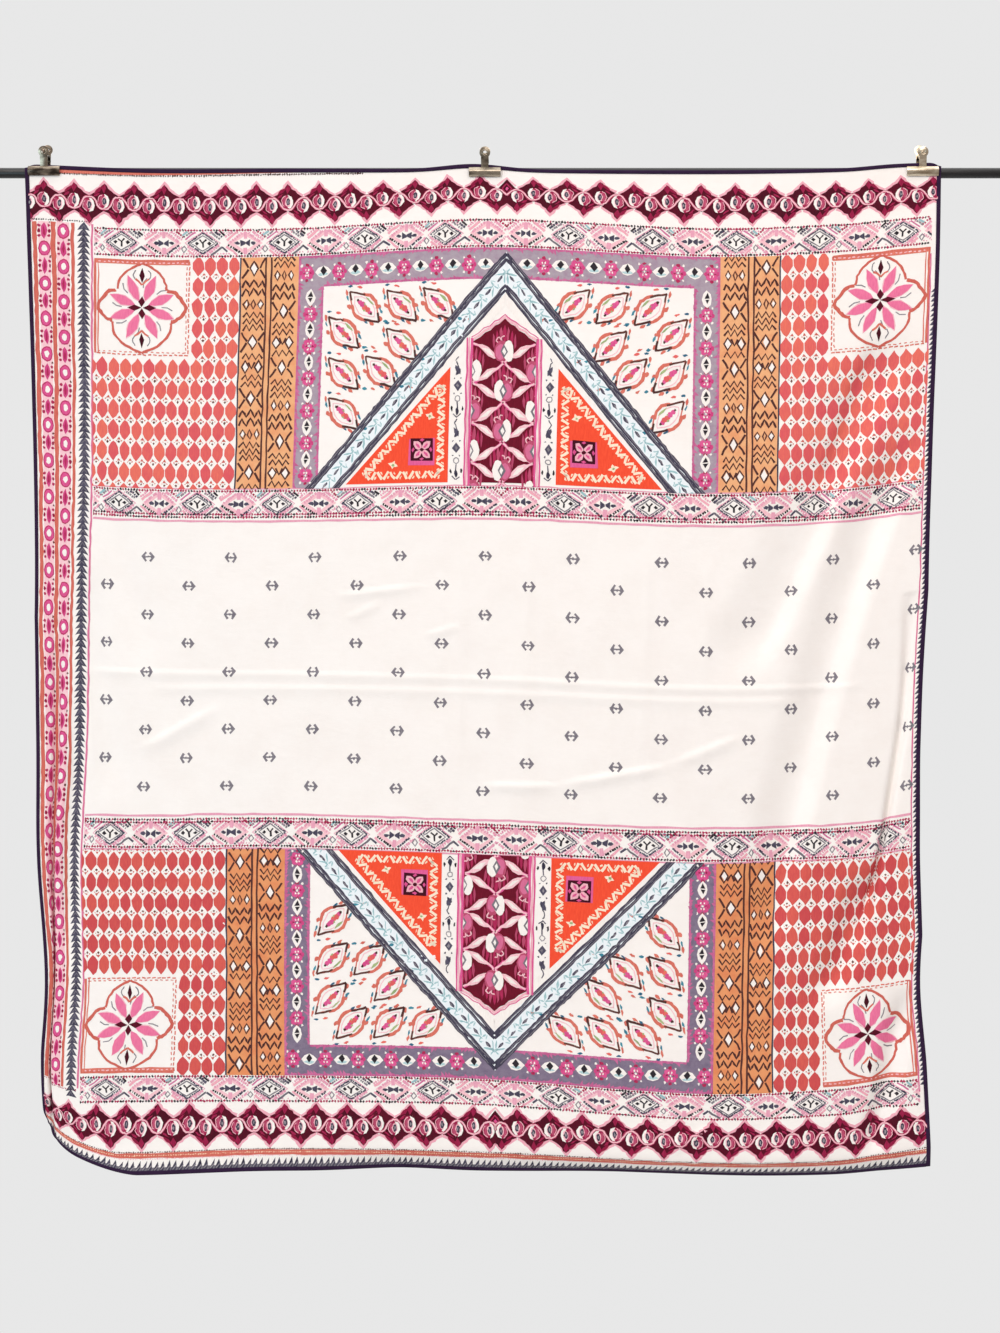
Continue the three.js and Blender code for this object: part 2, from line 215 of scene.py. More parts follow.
@dataclass(frozen=True)
class Tuck:
    """Narrow groove near a side edge that swallows cloth and draws the edge inward."""

    side: int
    half_width: float
    levels: tuple
    line: tuple
    hidden: tuple

    def at(self, s: Array, t: Array) -> tuple[Array, Array]:
        """How far the cloth is pulled inward and carried back at each point.

        Args:
            s: Places across.
            t: Places down.

        Returns:
            The pull along the row and the depth, in millimetres.
        """
        line = curve_through(self.levels, self.line, t)
        hidden = np.maximum(curve_through(self.levels, self.hidden, t), 0)
        hidden = np.where(t > self.levels[0], hidden, 0)
        squared = 8 - 8 * np.sqrt(1 - hidden / (2 * self.half_width))
        steep = np.sqrt(squared)
        first = steep / 2 - steep**3 / 16 + steep**5 / 384
        second = squared / 8 - squared**2 / 96
        u = np.clip((s - line) * self.side / self.half_width, -1, 1)
        sway = second * self.half_width / math.pi * np.sin(2 * math.pi * u)
        pulled = hidden * (u + 1) / 2 - sway
        depth = 2 * first * self.half_width / math.pi * (1 + np.cos(math.pi * u))
        return -self.side * pulled, depth


@dataclass(frozen=True)
class Crease:
    """Pressed crease: a low ridge along a line of the flat cloth, sharper on its upper side."""

    s0: float
    t0: float
    s1: float
    t1: float
    height: float
    width: float

    def at(self, s: Array, t: Array) -> Array:
        """How far the cloth stands out at each point.

        Args:
            s: Places across.
            t: Places down.

        Returns:
            The height in millimetres.
        """
        ds = self.s1 - self.s0
        dt = self.t1 - self.t0
        length = math.hypot(ds, dt)
        along = ((s - self.s0) * ds + (t - self.t0) * dt) / length
        off = ((t - self.t0) * ds - (s - self.s0) * dt) / length
        fade = min(90, length / 3)
        ends = smooth_step(along / fade) * smooth_step((length - along) / fade)
        flank = np.where(off < 0, self.width * 0.45, self.width * 1.6)
        return self.height * ends * np.exp(-((off / flank) ** 2))


@dataclass
class HungShape:
    """The middle surface of the cloth as it hangs, in millimetres."""

    thickness: float = 3
    top_height: float = 12
    cloth_y: float = -16.1
    slide_across: tuple = (0, 161, 590, 1171, 1750, 2200)
    slide: dict = field(default_factory=lambda: {
        0: (-6, -3, -6, -16, -7, 1),
        250: (2, -3, -8, -17, -8, -3),
        700: (15, -4, -21, -28, -13, -20),
        1040: (19, -11, -29, -32, -15, -30),
        1400: (8, -16, -35, -37, -17, -31),
        1660: (6, -29, -42, -41, -18, -29),
        1950: (15, -24, -43, -46, -23, -50),
        2170: (7, -36, -43, -45, -26, -34),
        2424: (40, -38, -41, -42, -27, -22),
    })
    drop_across: tuple = (0, 300, 640, 1130, 1650, 1965, 2090, 2200)
    drop: dict = field(default_factory=lambda: {
        0: (-5, 7, 6, 8, 10, 5, -5, -9),
        147: (-10, 3, 1, -21, 1, -9, -20, -31),
        820: (-22, -4, -2, -9, 10, -1, -15, -27),
        1590: (2, 8, 5, 20, 40, 31, 20, 1),
        2220: (4, -3, -3, 5, 42, 31, 15, 2),
        2371: (0, 6, -4, 5, 32, 28, 11, -8),
    })
    valleys: tuple = tuple(Valley(*row) for row in (
        (2125, 420, 1735, 1240, 17, 150, 60, 150), (2066, 415, 1925, 800, 11, 36, 75, 90),
        (2160, 635, 1790, 1912, 22, 110, 65, 170, 48), (2080, 1640, 1950, 2010, 26, 80, 60, 110),
        (2165, 1960, 2055, 2400, 24, 55, 45, 110), (70, 380, 330, 1250, 7, 110, 80, 200),
        (150, 950, 240, 1560, 7, 75, 60, 150), (130, 1230, 122, 1960, 13, 36, 42, 260),
    ))
    tucks: tuple = (
        Tuck(-1, 30, (1100, 1400, 1660, 1950, 2170, 2424), (66, 64, 58, 48, 48, 48), (0, 14, 18, 28, 26, 0)),
        Tuck(1, 30, (1040, 1285, 1567, 1680, 1850), (2158, 2152, 2106, 2082, 2040), (0, 14, 22, 20, 0)),
    )
    hem_line: float = 2371
    hem_soft: float = 9
    hem_across: tuple = (0, 700, 930, 1130, 1480, 1965, 2085, 2200)
    hem_degrees: tuple = (0, 6, 30, 27, 50, 46, 38, 22)
    corner_rise: float = 116
    corner_reach: float = 310
    corner_up: float = 0.8
    corner_power: float = 1.45
    corner_round: tuple = (10, 3.5)
    corner_round_reach: float = 36
    droop: float = 8
    droop_reach: float = 14
    droop_fade: float = 60
    peak_s: float = 1090
    peak_rise: float = 13
    peak_reach: float = 100
    peak_fade: float = 50
    creases: tuple = tuple(Crease(*row) for row in (
        (140, 1214, 2060, 1236, 2.4, 8), (300, 1250, 1900, 1262, 2, 9), (759, 1036, 1000, 1010, 3.2, 8),
        (795, 1094, 890, 1044, 2.8, 8), (988, 1131, 1080, 1100, 2.8, 8), (277, 1408, 506, 1287, 4.6, 13),
        (1120, 1473, 1330, 1466, 4, 10), (1300, 1468, 1590, 1405, 4.8, 11),
        (1560, 1412, 1747, 1335, 4.2, 11), (1084, 880, 1080, 1540, 1.5, 9), (1241, 880, 1238, 1540, 1.5, 9),
        (1518, 900, 1510, 1540, 1.8, 9), (1658, 900, 1650, 1540, 1.8, 9), (1560, 2330, 1700, 2270, 5, 14),
        (830, 2290, 1010, 2300, 3.5, 12), (1040, 560, 1110, 300, 1.8, 10), (420, 1760, 640, 1900, 2.6, 13),
        (900, 1950, 1180, 1820, 2.6, 13),
    ))

    def place(self, s: Array, t: Array) -> Array:
        """The hung place of points of the flat cloth.

        Args:
            s: Places across.
            t: Places down.

        Returns:
            One row of x, y and z a point.
        """
        x = s - WIDTH / 2 + table_at(self.slide, self.slide_across, s, t)
        z = self.top_height - t - table_at(self.drop, self.drop_across, s, t)
        y = np.full_like(x, self.cloth_y)
        to_side = np.minimum(s, WIDTH - s)
        z = z - self.droop * np.exp(-((to_side / self.droop_reach) ** 2)) * np.exp(-t / self.droop_fade)
        peak = np.exp(-(((s - self.peak_s) / self.peak_reach) ** 2)) * np.exp(-t / self.peak_fade)
        along = s + self.corner_up * (LENGTH - t)
        corner = np.maximum(1 - along / self.corner_reach, 0) ** self.corner_power
        z = z + self.peak_rise * peak + self.corner_rise * corner
        at_corner = np.exp(-(s**2 + (LENGTH - t) ** 2) / self.corner_round_reach**2)
        x = x + self.corner_round[0] * at_corner
        z = z + self.corner_round[1] * at_corner
        for valley in self.valleys:
            y = y + valley.at(s, t)
        for tuck in self.tucks:
            pull, depth = tuck.at(s, t)
            x = x + pull
            y = y + depth
        y = y - sum(crease.at(s, t) for crease in self.creases) - self.ripple(s, t)
        past = t - self.hem_line
        turned = (past + np.sqrt(past * past + self.hem_soft**2)) / 2
        angle = np.radians(np.maximum(curve_through(self.hem_across, self.hem_degrees, s), 0))
        y = y + turned * np.sin(angle)
        z = z + turned * (1 - np.cos(angle))
        return np.stack([x, y, z], axis=1)

    def tucked(self, s: Array, t: Array) -> Array:
        """How far the tucks carry the cloth back at each point."""
        return sum(tuck.at(s, t)[1] for tuck in self.tucks)

    def ripple(self, s: Array, t: Array) -> Array:
        """Low uneven swell of a quilted cloth that has been folded, away from the rod.

        Args:
            s: Places across.
            t: Places down.

        Returns:
            How far the cloth stands out, in millimetres.
        """
        waves = np.sin(s / 61 + 1.7 * np.sin(t / 190)) * np.sin(t / 83 + 1.3 * np.sin(s / 240))
        finer = np.sin(s / 27 + 2.1 * np.sin(t / 75)) * np.sin(t / 31 + 1.9 * np.sin(s / 90))
        return smooth_step((t - 60) / 120) * (0.9 * (1 + waves) + 0.28 * (1 + finer))

    def normal(self, s: Array, t: Array) -> Array:
        """Unit normal of the hung cloth on its face side at each point."""
        steps = ((0, NORMAL_STEP), (NORMAL_STEP, 0))
        return unit(np.cross(*[self.place(s + a, t + b) - self.place(s - a, t - b) for a, b in steps]))


def grid_lines(ranges: tuple) -> Array:
    """Lines of a grid from 0 on, an even number of steps in all.

    Args:
        ranges: Pairs of a range's end and the spacing in it.

    Returns:
        The places of the lines.
    """
    ends = [end for end, _ in ranges]
    starts = [0, *ends[:-1]]
    steps = [max(1, round((end - start) / gap)) for start, (end, gap) in zip(starts, ranges)]
    if sum(steps) % 2:
        steps[int(np.argmax(steps))] += 1
    lines = [0]
    for start, end, count in zip(starts, ends, steps):
        lines.extend(start + (end - start) * (k + 1) / count for k in range(count))
    return np.array(lines)


ACROSS_LINES = (
    (BINDING_DEPTH, 9), (PANEL_LEFT, 6.6), (520, 10), (663, 10), (725, 10), (1617, 10),
    (1679, 10), (1822, 10), (2030, 9), (PANEL_RIGHT, 7), (WIDTH - BINDING_DEPTH, 5), (WIDTH, 9),
)
DOWN_LINES = (
    (BINDING_DEPTH, 9), (147, 10), (217, 10), (293, 10), (780, 10), (860, 10), (1553, 5.5),
    (1637, 10), (2117, 10), (2193, 10), (2258, 9), (2371, 8), (2415, 7), (LENGTH, 9),
)
TUCK_ROOM = 0.24


class ClothGrid:
    """The hung cloth sampled on a grid of its flat lines, in metres."""

    def __init__(self, shape: HungShape) -> None:
        """Sample the hung shape.

        Args:
            shape: The cloth's middle surface.
        """
        self.shape = shape
        self.s = grid_lines(ACROSS_LINES)
        self.t = grid_lines(DOWN_LINES)
        self.s_list = self.s.tolist()
        self.t_list = self.t.tolist()
        across, down = np.meshgrid(self.s, self.t)
        middle = shape.place(across.ravel(), down.ravel())
        normal = shape.normal(across.ravel(), down.ravel())
        size = (len(self.t), len(self.s), 3)
        half = shape.thickness / 2
        behind = half + TUCK_ROOM * shape.tucked(across.ravel(), down.ravel())[:, None]
        self.normals = normal.reshape(size)
        self.front = ((middle + normal * half) * MM).reshape(size)
        self.back = ((middle - normal * behind) * MM).reshape(size)

    def lift(self, flat: Array) -> Array:
        """Lay flat points on the cloth's face.

        Args:
            flat: Rows of s, t and height over the face, in millimetres.

        Returns:
            Rows of x, y and z in metres.
        """
        i = np.clip(np.searchsorted(self.s, flat[:, 0], side="right") - 1, 0, len(self.s) - 2)
        j = np.clip(np.searchsorted(self.t, flat[:, 1], side="right") - 1, 0, len(self.t) - 2)
        u = ((flat[:, 0] - self.s[i]) / (self.s[i + 1] - self.s[i]))[:, None]
        v = ((flat[:, 1] - self.t[j]) / (self.t[j + 1] - self.t[j]))[:, None]

        def mixed(values: Array) -> Array:
            """Values of the grid mixed at each point."""
            upper, lower = (values[k, i] * (1 - u) + values[k, i + 1] * u for k in (j, j + 1))
            return upper * (1 - v) + lower * v

        return mixed(self.front) + mixed(self.normals) * flat[:, 2:3] * MM


# Finishes

PUCKER = 4
WEAVE_DEPTH = 0.0004
STITCH_DEPTH = 0.0005
GRAIN_DEPTH = 0.0003
CLOTH_SURFACE = {"Sheen_Weight": 0.03, "Specular_IOR_Level": 0.2}


class Nodes:
    """The nodes of one material or of the surroundings."""

    def __init__(self, owner: Material | bpy.types.World) -> None:
        """Turn the owner's nodes on and find its shader.

        Args:
            owner: What the nodes belong to.
        """
        owner.use_nodes = True
        self.tree = owner.node_tree
        self.shader = next(node for node in self.tree.nodes if node.outputs)

    def give(self, socket: Socket, value: object) -> None:
        """Link an input to an output, or set its plain value.

        Args:
            socket: The input.
            value: An output or a plain value.
        """
        if isinstance(value, Socket):
            self.tree.links.new(value, socket)
        else:
            socket.default_value = value

    def add(self, kind: str, out: str | int, at: tuple = (), **values: object) -> Socket:
        """Add a node.

        Args:
            kind: Blender's name of the node type without its first words.
            out: Name or number of the output that is wanted.
            at: Pairs of an input's number and its value.
            **values: Inputs by name with underscores for spaces, or properties of the node.

        Returns:
            The output.
        """
        node = self.tree.nodes.new(f"ShaderNode{kind}")
        for name, value in values.items():
            socket = name.replace("_", " ")
            if socket in node.inputs:
                self.give(node.inputs[socket], value)
            else:
                setattr(node, name, value)
        for number, value in at:
            self.give(node.inputs[number], value)
        return node.outputs[out]

    def surface(self, **values: object) -> None:
        """Set or link the shader's inputs."""
        for name, value in values.items():
            self.give(self.shader.inputs[name.replace("_", " ")], value)

    def mapped(self, source: Socket, stretch: tuple, turn: float = 0) -> Socket:
        """Coordinates stretched along their axes and turned about the third."""
        return self.add("Mapping", "Vector", Vector=source, Scale=stretch, Rotation=(0, 0, turn))

    def flat_map(self, stretch: tuple = (1, 1, 1), turn: float = 0) -> Socket:
        """Flat cloth coordinates in metres, stretched and turned."""
        return self.mapped(self.add("UVMap", "UV", uv_map=FLAT_MAP), stretch, turn)

    def noise(self, at: Socket, scale: float, detail: float, roughness: float) -> Socket:
        """Cloudy noise."""
        return self.add("TexNoise", "Fac", Vector=at, Scale=scale, Detail=detail, Roughness=roughness)

    def wave(self, turn: float, pitch: float, bend: float, detail: float = 2, way: str = "X") -> Socket:
        """Waves on the flat cloth, with their pitch in metres."""
        scale = 2 * math.pi / (20 * pitch)
        return self.add("TexWave", "Fac", Vector=self.flat_map(turn=turn), Scale=scale, Distortion=bend,
                        Detail=detail, bands_direction=way)

    def ranged(self, value: Socket, low: float, high: float, start: float = 0, end: float = 1) -> Socket:
        """A value's range between two limits drawn out to another range."""
        return self.add("MapRange", 0, Value=value, From_Min=low, From_Max=high, To_Min=start, To_Max=end)

    def maths(self, how: str, a: object, b: object) -> Socket:
        """A sum, product or the like of two outputs or numbers."""
        return self.add("Math", 0, ((0, a), (1, b)), operation=how)

    def blend(self, share: Socket, low: tuple, high: tuple) -> Socket:
        """Two linear colours mixed by a share."""
        return self.add("Mix", 2, ((0, share), (6, low), (7, high)), data_type="RGBA")

    def bump(self, height: Socket, strength: float, distance: float) -> Socket:
        """Relief from a height, with the share of it that is used and its size in metres."""
        return self.add("Bump", "Normal", Height=height, Strength=strength, Distance=distance)

    def puckers(self) -> Socket:
        """Height of the low puckers that quilting leaves in the cloth."""
        return self.maths("MULTIPLY", self.noise(self.flat_map((32, 58, 1)), 1, 2, 0.5), PUCKER)


@dataclass(frozen=True)
class CottonFinish:
    """Matte woven cotton with uneven yarn and, where it is printed, a mottled second colour."""

    name: str
    light: Colour
    dark: Colour
    mottle: float = 0.35
    mottle_scale: float = 70
    yarn: float = 0.0011
    relief: float = 0.5

    def make(self) -> Material:
        """Make the material.

        Returns:
            The finish as a material.
        """
        material = bpy.data.materials.new(self.name)
        nodes = Nodes(material)
        slub = nodes.noise(nodes.flat_map((60, 420, 1)), 1, 3, 0.6)
        cloud = nodes.noise(nodes.flat_map(), self.mottle_scale, 4, 0.65)
        patchy = nodes.maths("MULTIPLY", nodes.ranged(cloud, 0.42, 0.66), self.mottle)
        share = nodes.maths("ADD", nodes.maths("MULTIPLY", slub, 0.3), patchy)
        weave = nodes.maths("MAXIMUM", *[nodes.wave(0, self.yarn, 1.2, 1, way) for way in "XY"])
        height = nodes.maths("ADD", nodes.maths("ADD", weave, slub), nodes.puckers())
        nodes.surface(
            Base_Color=nodes.blend(share, linear(self.light), linear(self.dark)),
            Normal=nodes.bump(height, self.relief, WEAVE_DEPTH), **CLOTH_SURFACE, Roughness=0.9,
        )
        return material


@dataclass(frozen=True)
class ThreadFinish:
    """Stitched cotton thread in two near shades, with the ribs of close stitches."""

    light: Colour
    dark: Colour
    turn: float = 0
    rib: float = 0.0019
    relief: float = 0.45

    def make(self, name: str) -> Material:
        """Make the material.

        Args:
            name: The thread's name.

        Returns:
            The finish as a material.
        """
        material = bpy.data.materials.new(name)
        nodes = Nodes(material)
        streak = nodes.noise(nodes.flat_map((330, 55, 1), self.turn), 1, 3, 0.65)
        toned = nodes.maths("MULTIPLY", nodes.add("Attribute", "Fac", attribute_name=TINT), 0.7)
        share = nodes.maths("ADD", nodes.ranged(streak, 0.3, 0.7, 0, 0.6), toned)
        ribs = nodes.maths("ADD", nodes.wave(self.turn, self.rib, 2.5), streak)
        height = nodes.maths("ADD", ribs, nodes.puckers())
        nodes.surface(
            Base_Color=nodes.blend(share, linear(self.light), linear(self.dark)),
            Normal=nodes.bump(height, self.relief, STITCH_DEPTH), **CLOTH_SURFACE, Roughness=0.8,
        )
        return material


class Thread(Enum):
    """The thread and print colours of the face."""

    WHITE = ThreadFinish((252, 248, 243), (240, 228, 222))
    CREAM = ThreadFinish((254, 240, 218), (246, 214, 180))
    ICE = ThreadFinish((246, 249, 252), (226, 238, 243))
    MAROON = ThreadFinish((98, 3, 35), (62, 0, 23), 0.5)
    GARNET = ThreadFinish((132, 14, 46), (98, 4, 32), 0.5)
    CRIMSON = ThreadFinish((190, 48, 96), (142, 20, 62), 0.9)
    DUSTY = ThreadFinish((206, 98, 128), (176, 66, 100), 0.9)
    ROSE = ThreadFinish((233, 104, 160), (206, 66, 128), 0.3)
    ORCHID = ThreadFinish((244, 132, 170), (226, 100, 146), 0.3)
    BLUSH = ThreadFinish((232, 144, 174), (212, 106, 146), 0.3)
    PETAL = ThreadFinish((240, 180, 198), (222, 142, 170), 0.3)
    MALLOW = ThreadFinish((216, 124, 168), (194, 92, 142), 0.7)
    PALE_PINK = ThreadFinish((251, 216, 219), (238, 168, 184))
    SALMON = ThreadFinish((230, 132, 112), (200, 92, 82), 1.2)
    CORAL = ThreadFinish((237, 122, 98), (220, 90, 98), 0.1)
    # A darker copy of the coral for the lower panel: painted shade.
    CORAL_DEEP = ThreadFinish((222, 102, 86), (203, 75, 80), 0.1)
    ORANGE_RED = ThreadFinish((252, 92, 58), (236, 66, 42), 0.8)
    SLATE = ThreadFinish((96, 92, 112), (48, 44, 62), 0.6)
    GREY = ThreadFinish((160, 154, 160), (108, 104, 114))
    TEAL = ThreadFinish((70, 160, 176), (40, 96, 128))
    PALE_TEAL = ThreadFinish((208, 230, 231), (150, 192, 198))
    GREEN = ThreadFinish((186, 200, 142), (126, 158, 104))
    BROWN = ThreadFinish((116, 68, 58), (72, 42, 42))
    BLACK = ThreadFinish((60, 52, 60), (30, 26, 32))

    @cache
    def material(self) -> Material:
        """The thread's material, made once."""
        return self.value.make(f"thread_{self.name.lower()}")


(WHITE, CREAM, ICE, MAROON, GARNET, CRIMSON, DUSTY, ROSE, ORCHID, BLUSH, PETAL, MALLOW,
 PALE_PINK, SALMON, CORAL, CORAL_DEEP, ORANGE_RED, SLATE, GREY, TEAL, PALE_TEAL, GREEN, BROWN, BLACK) = Thread


@dataclass(frozen=True)
class MetalFinish:
    """Metal or paint with uneven gloss and a mottled second colour: wear on the rod, and on the clips partly
    wear and partly painted glints and glare.
    """

    name: str
    light: Colour
    dark: Colour
    metallic: float
    rough_low: float
    rough_high: float
    grain: tuple = (90, 90, 90)
    relief: float = 0.08

    def make(self) -> Material:
        """Make the material.

        Returns:
            The finish as a material.
        """
        material = bpy.data.materials.new(self.name)
        nodes = Nodes(material)
        noise = nodes.noise(nodes.mapped(nodes.add("TexCoord", "Object"), self.grain), 1, 5, 0.6)
        nodes.surface(
            Base_Color=nodes.blend(nodes.ranged(noise, 0.4, 0.65), linear(self.light), linear(self.dark)),
            Roughness=nodes.ranged(noise, 0, 1, self.rough_low, self.rough_high),
            Metallic=self.metallic, Normal=nodes.bump(noise, self.relief, GRAIN_DEPTH),
        )
        return material


# Pieces of the scene


def new_piece(name: str, points: Array, faces: list, materials: list[Material],
              node: str = "") -> Piece:
    """A smooth mesh that rides with the part.

    Args:
        name: The piece's name.
        points: Rows of x, y and z in metres.
        faces: Tuples of point numbers.
        materials: Its materials.
        node: The solid that it stands for, if any.

    Returns:
        The new object.
    """
    mesh = bpy.data.meshes.new(name)
    mesh.from_pydata([tuple(p) for p in points.tolist()], [], faces)
    mesh.polygons.foreach_set("use_smooth", np.ones(len(mesh.polygons), bool))
    for material in materials:
        mesh.materials.append(material)
    piece = bpy.data.objects.new(name, mesh)
    bpy.context.scene.collection.objects.link(piece)
    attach(piece, BODY)
    if node:
        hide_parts(node)
    return piece


def set_flat_map(mesh: bpy.types.Mesh, flat: Array, slots: list[int] | None = None) -> None:
    """Store each point's flat place in metres as a map, and each face's material.

    Args:
        mesh: The mesh.
        flat: Rows of s and t in millimetres, one a point.
        slots: Numbers of the faces' materials, or None if there is only one.
    """
    loops = np.empty(len(mesh.loops), np.int32)
    mesh.loops.foreach_get("vertex_index", loops)
    layer = mesh.uv_layers.new(name=FLAT_MAP)
    layer.uv.foreach_set("vector", (flat[loops, :2] * MM).astype(np.float32).ravel())
    if slots:
        mesh.polygons.foreach_set("material_index", np.array(slots, np.int32))
    mesh.update()


def tube(rows: int, around: int) -> list[list[int]]:
    """Faces of a tube of rings of points, with its ends closed.

    Args:
        rows: How many rings it has.
        around: How many points a ring has.

    Returns:
        The faces.
    """
    faces = []
    for a in range(0, (rows - 1) * around, around):
        for k in range(around):
            n = (k + 1) % around
            faces.append([a + k, a + n, a + around + n, a + around + k])
    return [*faces, list(range(around))[::-1], [(rows - 1) * around + k for k in range(around)]]


def tidy_normals(mesh: bpy.types.Mesh) -> None:
    """Turn all faces of a closed mesh outward.

    Args:
        mesh: The mesh.
    """
    work = bmesh.new()
    work.from_mesh(mesh)
    bmesh.ops.recalc_face_normals(work, faces=work.faces)
    work.to_mesh(mesh)
    work.free()


def split(outline: list[Flat], axis: int, at: float) -> tuple[list[Flat], list[Flat]]:
    """Cut a convex outline along a line of constant s or t.

    Args:
        outline: Corners as s, t and height.
        axis: 0 to cut at a place across, 1 at a place down.
        at: The place.

    Returns:
        The outlines on the lower and the higher side.
    """
    low: list[Flat] = []
    high: list[Flat] = []
    for a, b in zip(outline, outline[1:] + outline[:1]):
        from_a = a[axis] - at
        from_b = b[axis] - at
        if from_a <= 0:
            low.append(a)
        if from_a >= 0:
            high.append(a)
        if from_a * from_b < 0:
            f = from_a / (from_a - from_b)
            cut = tuple(p + (q - p) * f for p, q in zip(a, b))
            low.append(cut)
            high.append(cut)
    return low, high


# Motif outlines about their own middle or foot


def diamond(u: float, v: float, half_width: float, half_height: float) -> list[Point]:
    """Diamond about a point."""
    return [(u - half_width, v), (u, v - half_height), (u + half_width, v), (u, v + half_height)]


def oval(u: float, v: float, across: float, down: float, count: int = 12) -> list[Point]:
    """Oval about a point, given its half axes."""
    return [(u + across * math.cos(a), v + down * math.sin(a)) for a in turns(count)]


def blade(start: Point, end: Point, width: float, shares: tuple) -> list[Point]:
    """Outline that runs from one point to another.

    Args:
        start: Where it starts.
        end: Where it ends.
        width: Its width.
        shares: Its corners as shares of the length and of half the width.

    Returns:
        The outline.
    """
    du = end[0] - start[0]
    dv = end[1] - start[1]
    length = math.hypot(du, dv)
    out = (-dv / length * width / 2, du / length * width / 2)
    return [(start[0] + du * a + out[0] * b, start[1] + dv * a + out[1] * b) for a, b in shares]


def leaf(start: Point, end: Point, width: float) -> list[Point]:
    """Pointed leaf from one point to another."""
    half = ((0.22, 0.72), (0.5, 1), (0.78, 0.72))
    return blade(start, end, width, ((0, 0), *half, (1, 0), *[(a, -b) for a, b in reversed(half)]))


def kite(start: Point, end: Point, width: float, widest: float) -> list[Point]:
    """Kite from one point to another, widest at a share of its length."""
    return blade(start, end, width, ((0, 0), (widest, 1), (1, 0), (widest, -1)))


def rounded(points: list[Point], steps: int = 4, closed: bool = False) -> list[Point]:
    """Smooth line through points.

    Args:
        points: The points in order.
        steps: Short lines between two points.
        closed: Whether the line comes back to its start.

    Returns:
        The points of the finer line.
    """
    count = len(points)
    last = count if closed else count - 1
    line: list[Point] = []
    for k in range(last):
        pick = [k - 1, k, k + 1, k + 2]
        pick = [n % count if closed else min(max(n, 0), count - 1) for n in pick]
        p0, p1, p2, p3 = (np.array(points[n], float) for n in pick)
        for step in range(steps):
            f = step / steps
            bend = (2 * p0 - 5 * p1 + 4 * p2 - p3) * f**2 + (3 * p1 - p0 - 3 * p2 + p3) * f**3
            at = 0.5 * (2 * p1 + (p2 - p0) * f + bend)
            line.append((float(at[0]), float(at[1])))
    if not closed:
        line.append(points[-1])
    return line


@dataclass(frozen=True)
class Place:
    """Where a motif lies on the flat cloth, how it is mirrored and how it is turned."""

    s: float
    t: float
    across: float = 1
    down: float = 1
    turn: float = 0

    def __call__(self, points: list[Point]) -> list[Point]:
        """Points of the motif as points of the flat cloth."""
        c, n = math.cos(self.turn), math.sin(self.turn)
        return [(self.s + self.across * (u * c - v * n), self.t + self.down * (u * n + v * c))
                for u, v in points]

    def at(self, u: float, v: float, turn: float = 0, flip: float = 1) -> "Place":
        """A place inside this one, turned further and, for a flip of -1, mirrored left and right."""
        point = self([(u, v)])[0]
        return Place(point[0], point[1], self.across * flip, self.down, self.turn + turn)


LAYER = 0.3
SLIVER = 0.12
WOBBLE = 0.7
UNEVEN = 0.6
UNEVEN_WIDTH = (0.82, 1.18)
LONG_LINE = 150
SHORT_CUT = 12
LONG_CUT = 28


